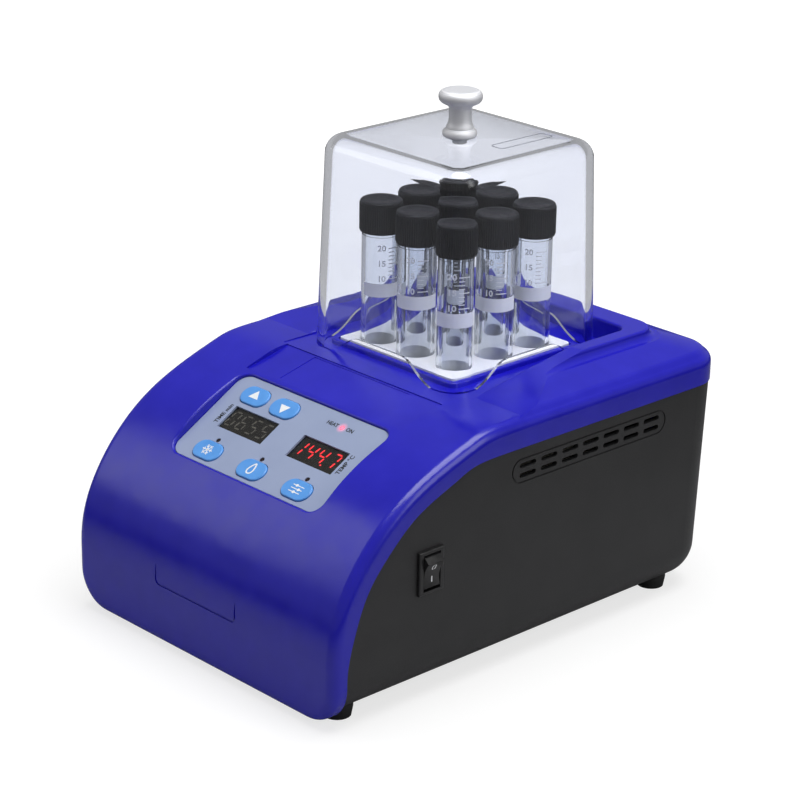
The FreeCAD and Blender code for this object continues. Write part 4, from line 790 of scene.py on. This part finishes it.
def rocker():
    """Block with a hollowed face: rows of its front corners follow an arc between two crests."""
    piece = begin(bpy.ops.mesh.primitive_cube_add, "rocker_body", size=1.0)
    bpy.ops.transform.resize(value=[side * MM for side in ROCKER_SIZE])
    shift(x=ROCKER_OUT)
    rows = [i * ROW_GAP for i in range(-ROWS_EACH_WAY, ROWS_EACH_WAY + 1)]
    for z in rows:
        slice_at((0, 0, z), (0, 0, 1))
    for z in rows:
        pick("verts", lambda v: v.x > 4.0 and abs(v.z - z) < 0.1)
        shift(x=hollow(z) - ROCKER_CREST)
    pick("verts", lambda v: v.x > 4.0 and abs(v.z) > 8.0)
    shift(x=ROCKER_END - ROCKER_CREST)
    pick("verts", lambda v: v.x < -3.0 and abs(v.z) > 4.0)
    shift(x=ROCKER_BACK_TAPER)
    pick("edges", lambda a, b: a.x > 1.5 and b.x > 1.5 and abs(a.y - b.y) < 0.01)
    bpy.ops.mesh.bevel(offset=0.35 * MM, segments=2, affect="EDGES")
    return settle(piece, ROCKER, 30)


def rocker_face(z):
    """Frame on the hollowed face at a height on it, with x to the right of a person who faces the side."""
    slope = math.asin(z / HOLLOW_R)
    out = Vector((math.cos(slope), 0, -math.sin(slope)))
    up = Vector((math.sin(slope), 0, math.cos(slope)))
    turn = Matrix((Vector((0, 1, 0)), up, out)).transposed().to_4x4()
    return ROCKER @ Matrix.Translation((hollow(z) * MM, 0, z * MM)) @ turn


def off_mark():
    """Upright ring on the upper half of the rocker."""
    piece = begin(bpy.ops.mesh.primitive_circle_add, "rocker_off_mark", vertices=40, radius=1.55 * MM,
                  fill_type="NGON")
    bpy.ops.transform.resize(value=(0.82, 1.15, 1))
    pick("faces", lambda c, n: True)
    bpy.ops.mesh.inset(thickness=0.5 * MM)
    bpy.ops.mesh.delete(type="FACE")
    pick("faces", lambda c, n: True)
    push(z=ROCKER_MARK_DEPTH)
    return settle(piece, rocker_face(3.4))


def on_mark():
    """Upright bar on the lower half of the rocker."""
    piece = begin(bpy.ops.mesh.primitive_plane_add, "rocker_on_mark", size=1.0)
    bpy.ops.transform.resize(value=(0.62 * MM, 3.3 * MM, 1))
    pick("verts", lambda v: True)
    bpy.ops.mesh.bevel(offset=0.15 * MM, segments=2, affect="VERTICES")
    pick("faces", lambda c, n: True)
    push(z=ROCKER_MARK_DEPTH)
    return settle(piece, rocker_face(-3.0))


finished(rocker(), "power_rocker", "switch_black", NYLON, "switch_rocker")
finished(off_mark(), "power_rocker", "switch_black", WHITE_INK)
finished(on_mark(), "power_rocker", "switch_black", WHITE_INK)


# Displays

# Middle, length and turn of each bar of a digit
SEGMENTS = {"a": (0.0, 4.3, 3.2, 0), "b": (2.15, 2.15, 3.1, 90), "c": (2.15, -2.15, 3.1, 90),
            "d": (0.0, -4.3, 3.2, 0), "e": (-2.15, -2.15, 3.1, 90), "f": (-2.15, 2.15, 3.1, 90),
            "g": (0.0, 0.0, 3.2, 0)}
LIT = {"0": "abcdef", "1": "bc", "4": "bcfg", "5": "acdfg", "6": "acdefg", "7": "abc"}
DIGIT_LEAN = 0.17
SEGMENT_DEPTH = 0.1
DISPLAY_SIZE, DISPLAY_Y, DISPLAY_FACE, DISPLAY_BACK = (30.2, 13.2), 1.8, -1.63, -8.5


def segment(name, x, y, length, angle, thick=0.72):
    """One bar with pointed ends, then leant over with its digit."""
    piece = begin(bpy.ops.mesh.primitive_plane_add, name, size=1.0)
    bpy.ops.transform.resize(value=(length * MM, thick * MM, 1))
    pick("verts", lambda v: True)
    bpy.ops.mesh.bevel(offset=thick * 0.42 * MM, segments=1, affect="VERTICES")
    pick("faces", lambda c, n: True)
    push(z=SEGMENT_DEPTH)
    settle(piece, Matrix.Translation((x * MM, y * MM, 0)) @ Matrix.Rotation(math.radians(angle), 4, "Z"))
    bpy.ops.object.mode_set(mode="EDIT")
    heights = sorted({round(v.co.y / MM, 3) for v in bmesh.from_edit_mesh(piece.data).verts})
    for high in heights:
        pick("verts", lambda v: abs(v.y - high) < 0.001)
        shift(x=high * DIGIT_LEAN)
    alone(piece)
    return piece


def digits(name, text, x, point_after=None):
    """A row of leaning digits behind one window."""
    parts = []
    for i, figure in enumerate(text):
        for letter in LIT[figure]:
            sx, sy, length, angle = SEGMENTS[letter]
            bar = segment("bar", sx, sy, length, angle)
            parts.append(settle(bar, Matrix.Translation(((i - 1.5) * DIGIT_PITCH * MM, 0, 0))))
    if point_after is not None:
        dot = begin(bpy.ops.mesh.primitive_circle_add, "point", vertices=16, radius=0.42 * MM, fill_type="NGON")
        pick("faces", lambda c, n: True)
        push(z=SEGMENT_DEPTH)
        parts.append(settle(dot, Matrix.Translation((((point_after - 1) * DIGIT_PITCH - 0.5) * MM, -4.4 * MM, 0))))
    base = Matrix.Translation((x * MM, DISPLAY_ROW * MM, (SEGMENT_TOP - SEGMENT_DEPTH) * MM))
    return settle(join(name, parts), PANEL @ base)


def display_body(name, x):
    """Black module with a stepped edge; its face lies just under the digits."""
    piece = begin(bpy.ops.mesh.primitive_cube_add, name, size=1.0)
    bpy.ops.transform.resize(value=[side * MM for side in (*DISPLAY_SIZE, DISPLAY_FACE - DISPLAY_BACK)])
    shift(z=(DISPLAY_FACE + DISPLAY_BACK) / 2)
    pick("faces", lambda c, n: n.z > 0.9)
    bpy.ops.mesh.inset(thickness=0.35 * MM)
    pick("edges", lambda a, b: abs(a.z - b.z) > 5)
    bpy.ops.mesh.bevel(offset=0.4 * MM, segments=2, affect="EDGES")
    return settle(piece, PANEL @ Matrix.Translation((x * MM, DISPLAY_Y * MM, 0)))


finished(display_body("timer_body", -DISPLAY_X), "housing", "display_red", CASE, "timer_display")
finished(display_body("temperature_body", DISPLAY_X), "housing", "display_red", CASE, "temperature_display")
finished(digits("temperature_digits", "1447", DISPLAY_X - 1.9, 2), "housing", "display_red", GLOW)
finished(digits("timer_digits", "0655", -DISPLAY_X - 1.0), "housing", "display_red", GHOST)


# Marks on the keys and the film

def flat(piece_name, vertices, radius, turn=0.0, wide=1.0, tall=1.0):
    """A filled polygon of some mm, scaled, left in edit mode."""
    piece = begin(bpy.ops.mesh.primitive_circle_add, piece_name, vertices=vertices, radius=radius * MM,
                  fill_type="NGON", rotation=(0, 0, math.radians(turn)))
    bpy.ops.transform.resize(value=(wide, tall, 1))
    return piece


def bar(name, length, thick, x=0.0, y=0.0, turn=0.0):
    """A flat bar with rounded corners, moved and then turned about the middle of its mark."""
    piece = begin(bpy.ops.mesh.primitive_plane_add, name, size=1.0)
    bpy.ops.transform.resize(value=(length * MM, thick * MM, 1))
    pick("verts", lambda v: True)
    bpy.ops.mesh.bevel(offset=thick * 0.3 * MM, segments=2, affect="VERTICES")
    return settle(piece, Matrix.Rotation(math.radians(turn), 4, "Z") @ Matrix.Translation((x * MM, y * MM, 0)))


def inked(name, parts, place):
    """Joins flat shapes into one mark 0.05 mm thick and places it."""
    mark = join(name, parts) if len(parts) > 1 else parts[0]
    mark.name = mark.data.name = name
    alone(mark)
    bpy.ops.object.mode_set(mode="EDIT")
    pick("faces", lambda c, n: True)
    push(z=0.05)
    bpy.ops.mesh.select_all(action="SELECT")
    bpy.ops.mesh.normals_make_consistent(inside=False)
    return settle(mark, place)


def on_key(key):
    """Frame on the top of a key, a hair above it."""
    x, y = KEYS[key]
    return PANEL @ Matrix.Translation((x * MM, y * MM, (KEY_TOP + 0.005) * MM))


def arrow(name, key, turn):
    """Triangle with softened points."""
    piece = flat(name, 3, 3.8, turn, 0.98, 0.88)
    bpy.ops.mesh.select_mode(type="VERT")
    bpy.ops.mesh.select_all(action="SELECT")
    bpy.ops.mesh.bevel(offset=0.25 * MM, segments=2, affect="VERTICES")
    alone(piece)
    return inked(name, [piece], on_key(key))


def snowflake():
    """Six arms with a pair of twigs each."""
    parts = []
    for i in range(6):
        turn = i * 60
        parts.append(bar("arm", 3.2, 0.5, 1.6, 0, turn))
        for side in (-1, 1):
            twig = bar("twig", 1.3, 0.4, 0.6, 0, 48 * side)
            along = Matrix.Rotation(math.radians(turn), 4, "Z") @ Matrix.Translation((1.6 * MM, 0, 0))
            parts.append(settle(twig, along))
    return inked("cool_mark", parts, on_key("key_cool"))


def flame(name, height, place):
    """Drop with a pulled-up tip and a hollow heart."""
    piece = flat(name, 28, height * 0.33)
    pick("verts", lambda v: v.y > height * 0.32)
    bpy.ops.transform.translate(value=(0.08 * height * MM, height * 0.42 * MM, 0), use_proportional_edit=True,
                                proportional_edit_falloff="SHARP", proportional_size=height * 0.62 * MM)
    pick("faces", lambda c, n: True)
    bpy.ops.mesh.inset(thickness=height * 0.12 * MM)
    bpy.ops.mesh.delete(type="FACE")
    alone(piece)
    settle(piece, Matrix.Translation((0, -height * 0.16 * MM, 0)))
    return inked(name, [piece], place)


def sliders():
    """Three rails with a round knob on each."""
    parts = []
    for i, knob_x in enumerate((-1.2, 1.4, -0.2)):
        y = (1 - i) * 1.9
        parts.append(bar("rail", 7.2, 0.45, 0, y))
        dot = flat("knob", 20, 0.8)
        alone(dot)
        parts.append(settle(dot, Matrix.Translation((knob_x * MM, y * MM, 0.002 * MM))))
    return inked("custom_mark", parts, on_key("key_custom"))


finished(arrow("up_mark", "key_up", 0), "key_up_cap", "key_blue", WHITE_INK)
finished(arrow("down_mark", "key_down", 180), "key_down_cap", "key_blue", WHITE_INK)
finished(snowflake(), "key_cool_cap", "key_blue", WHITE_INK)
finished(flame("digest_mark", 6.4, on_key("key_digest")), "key_digest_cap", "key_blue", WHITE_INK)
finished(sliders(), "key_custom_cap", "key_blue", WHITE_INK)


def printed(name, words, height, x, y, turn=0.0):
    """Dark word on the film, read along the film or up it."""
    place = PANEL @ Matrix.Translation((x * MM, y * MM, 0.03 * MM)) @ Matrix.Rotation(math.radians(turn), 4, "Z")
    finished(lettered(name, words, height, place), "housing", "panel_film", DARK_INK)


printed("minute_word", "TIME min", 2.3, -42.6, DISPLAY_ROW, 90)
printed("degree_word", "TEMP °C", 2.3, 42.6, DISPLAY_ROW, 90)
printed("heat_word", "HEAT", 2.1, HEAT_LED[0] - 6.4, HEAT_LED[1])
printed("on_word", "ON", 2.1, HEAT_LED[0] + 5.2, HEAT_LED[1])


# Lit lamp beside the heating mark

def lamp_dome():
    """Low stepped dome that stands out of the film."""
    piece = flat("heating_lamp", 24, 1.05)
    pick("faces", lambda c, n: True)
    push(z=0.12)
    bpy.ops.mesh.inset(thickness=0.35 * MM, depth=0.1 * MM)
    return settle(piece, PANEL @ Matrix.Translation((HEAT_LED[0] * MM, HEAT_LED[1] * MM, -0.19 * MM)), 60)


finished(lamp_dome(), "housing", "led_lens", LIT_LENS)


# Blades of the mains inlet

BLADE_PLACES = ((-6.5, 4.4), (6.5, 4.4), (0.0, 8.0))
BLADE_WIDE, BLADE_TALL, BLADE_LONG, BLADE_MIDDLE = 2.1, 4.1, 16.0, -11.95


def inlet_blades():
    """Two blades and, above them, the earth blade, each with a tapered tip."""
    parts = []
    for x, y in BLADE_PLACES:
        piece = begin(bpy.ops.mesh.primitive_cube_add, "blade", size=1.0)
        bpy.ops.transform.resize(value=(BLADE_WIDE * MM, BLADE_TALL * MM, BLADE_LONG * MM))
        pick("edges", lambda a, b: min(a.z, b.z) > BLADE_LONG / 2 - 0.1)
        bpy.ops.mesh.bevel(offset=0.6 * MM, segments=3, affect="EDGES")
        parts.append(settle(piece, Matrix.Translation((x * MM, y * MM, BLADE_MIDDLE * MM))))
    return settle(join("inlet_blades", parts), REAR, 30)


finished(inlet_blades(), "housing", "inlet_black", BRASS)


# Stage

# Level that eye rays see after an inner reflection, and the world's level as light and in mirrors
INNER_SHARE, WORLD_LIGHT, WORLD_MIRRORED = 0.4, 0.24, 0.3
# Painted pool of light that the floor shows in the object, light grey near the middle and dark further out, then the
# white paper that the eye sees; edges in mm from the middle
PAINTED_POOL, PAINTED_POOL_EDGE = ("b4b4b6", "3c3c3e"), (260, 560)
PAPER, LIFT, LIFT_EDGE = "959595", (0.72, 1.0), (150, 750)


def seen(tree):
    """1 where the eye sees the stage, also through clear parts, less after their inner reflections, 0 as light."""
    ray = add(tree, "ShaderNodeLightPath").outputs
    clear = add(tree, "ShaderNodeMath", {0: ray["Diffuse Depth"], 1: 0.5}, operation="LESS_THAN").outputs[0]
    clear = add(tree, "ShaderNodeMath", {0: clear, 1: ray["Is Transmission Ray"]}, operation="MULTIPLY").outputs[0]
    share = between(tree, ray["Glossy Depth"], 1.0, INNER_SHARE, 0.0, 1.0)
    clear = add(tree, "ShaderNodeMath", {0: clear, 1: share}, operation="MULTIPLY").outputs[0]
    return add(tree, "ShaderNodeMath", {0: clear, 1: ray["Is Camera Ray"]}, operation="MAXIMUM").outputs[0]


def studio_floor():
    """Paper sweep: white to the eye, a painted pool of light round the object in what the object sees, with the
    object's shadow.
    """
    made, tree, shader, spot = surface("paper_sweep", Roughness=0.9)
    eye = seen(tree)
    away = add(tree, "ShaderNodeVectorMath", {0: spot}, operation="LENGTH").outputs["Value"]
    # Painted pool of light: the floor's colour as the object sees it fades from light grey round the object to dark
    # further out
    pool = add(tree, "ShaderNodeMix", {0: between(tree, away, 0, 1, *PAINTED_POOL_EDGE), 6: linear(PAINTED_POOL[0]),
                                       7: linear(PAINTED_POOL[1])}, data_type="RGBA")
    paper = add(tree, "ShaderNodeMix", {0: eye, 6: pool.outputs[2], 7: linear(PAPER)}, data_type="RGBA")
    tree.links.new(paper.outputs[2], shader.inputs["Base Color"])
    lift = add(tree, "ShaderNodeMath", {0: eye, 1: between(tree, away, *LIFT, *LIFT_EDGE)}, operation="MULTIPLY")
    tree.links.new(lift.outputs[0], shader.inputs["Emission Strength"])
    shader.inputs["Emission Color"].default_value = (1.0, 1.0, 1.0, 1.0)
    return made


alone()
bpy.ops.mesh.primitive_plane_add(size=12.0, location=(0, 0, -0.0002))
floor = bpy.context.object
floor.name = "floor"
floor.data.materials.append(studio_floor())

world = bpy.data.worlds.new("studio")
world.use_nodes = True
bpy.context.scene.world = world
sky = world.node_tree
mirrored = add(sky, "ShaderNodeLightPath").outputs["Is Glossy Ray"]
level = add(sky, "ShaderNodeMapRange", {"Value": mirrored, "To Min": WORLD_LIGHT, "To Max": WORLD_MIRRORED})
level = add(sky, "ShaderNodeMath", {0: level.outputs[0], 1: seen(sky)}, operation="MAXIMUM")
sky.nodes["Background"].inputs["Color"].default_value = (1, 1, 1, 1)
sky.links.new(level.outputs[0], sky.nodes["Background"].inputs["Strength"])


def softbox(name, place, aim, width, height, power):
    """A rectangular lamp in metres and watts that faces a point."""
    lamp = bpy.data.lights.new(name, "AREA")
    lamp.shape, lamp.size, lamp.size_y, lamp.energy = "RECTANGLE", width, height, power
    holder = bpy.data.objects.new(name, lamp)
    bpy.context.scene.collection.objects.link(holder)
    holder.location = place
    holder.rotation_mode = "QUATERNION"
    holder.rotation_quaternion = (Vector(aim) - Vector(place)).to_track_quat("-Z", "Y")


softbox("overhead_softbox", (0.15, 0.1, 1.35), (0.0, 0.03, 0.1), 1.0, 1.0, 15.0)
softbox("right_softbox", (1.5, 0.5, 0.9), (0.0, 0.0, 0.1), 0.8, 1.1, 6.0)
softbox("left_softbox", (-1.1, -0.9, 0.9), (0.0, 0.0, 0.1), 0.5, 1.0, 2.0)

# Camera at the photograph's viewing angle
turn, rise, roll = [math.radians(angle) for angle in (46.439, 20.890, 1.0045)]
back = Vector((math.sin(turn) * math.cos(rise), -math.cos(turn) * math.cos(rise), math.sin(rise)))
right = Vector((math.cos(turn), math.sin(turn), 0))
up = back.cross(right)
right, up = right * math.cos(roll) + up * math.sin(roll), up * math.cos(roll) - right * math.sin(roll)
lens = bpy.data.cameras.new("camera")
lens.sensor_width, lens.lens = 36.0, 119.352
lens.clip_start, lens.clip_end = 0.05, 50.0
camera = bpy.data.objects.new("camera", lens)
bpy.context.scene.collection.objects.link(camera)
aside, above, away = -24.390, 86.071, 1326.61
spot = right * aside + up * above + back * away + Vector((0, BLOCK_Y, 0))
camera.matrix_world = Matrix.Translation(at(*spot)) @ Matrix((right, up, back)).transposed().to_4x4()
bpy.context.scene.camera = camera
bpy.context.scene.view_settings.view_transform = "Standard"
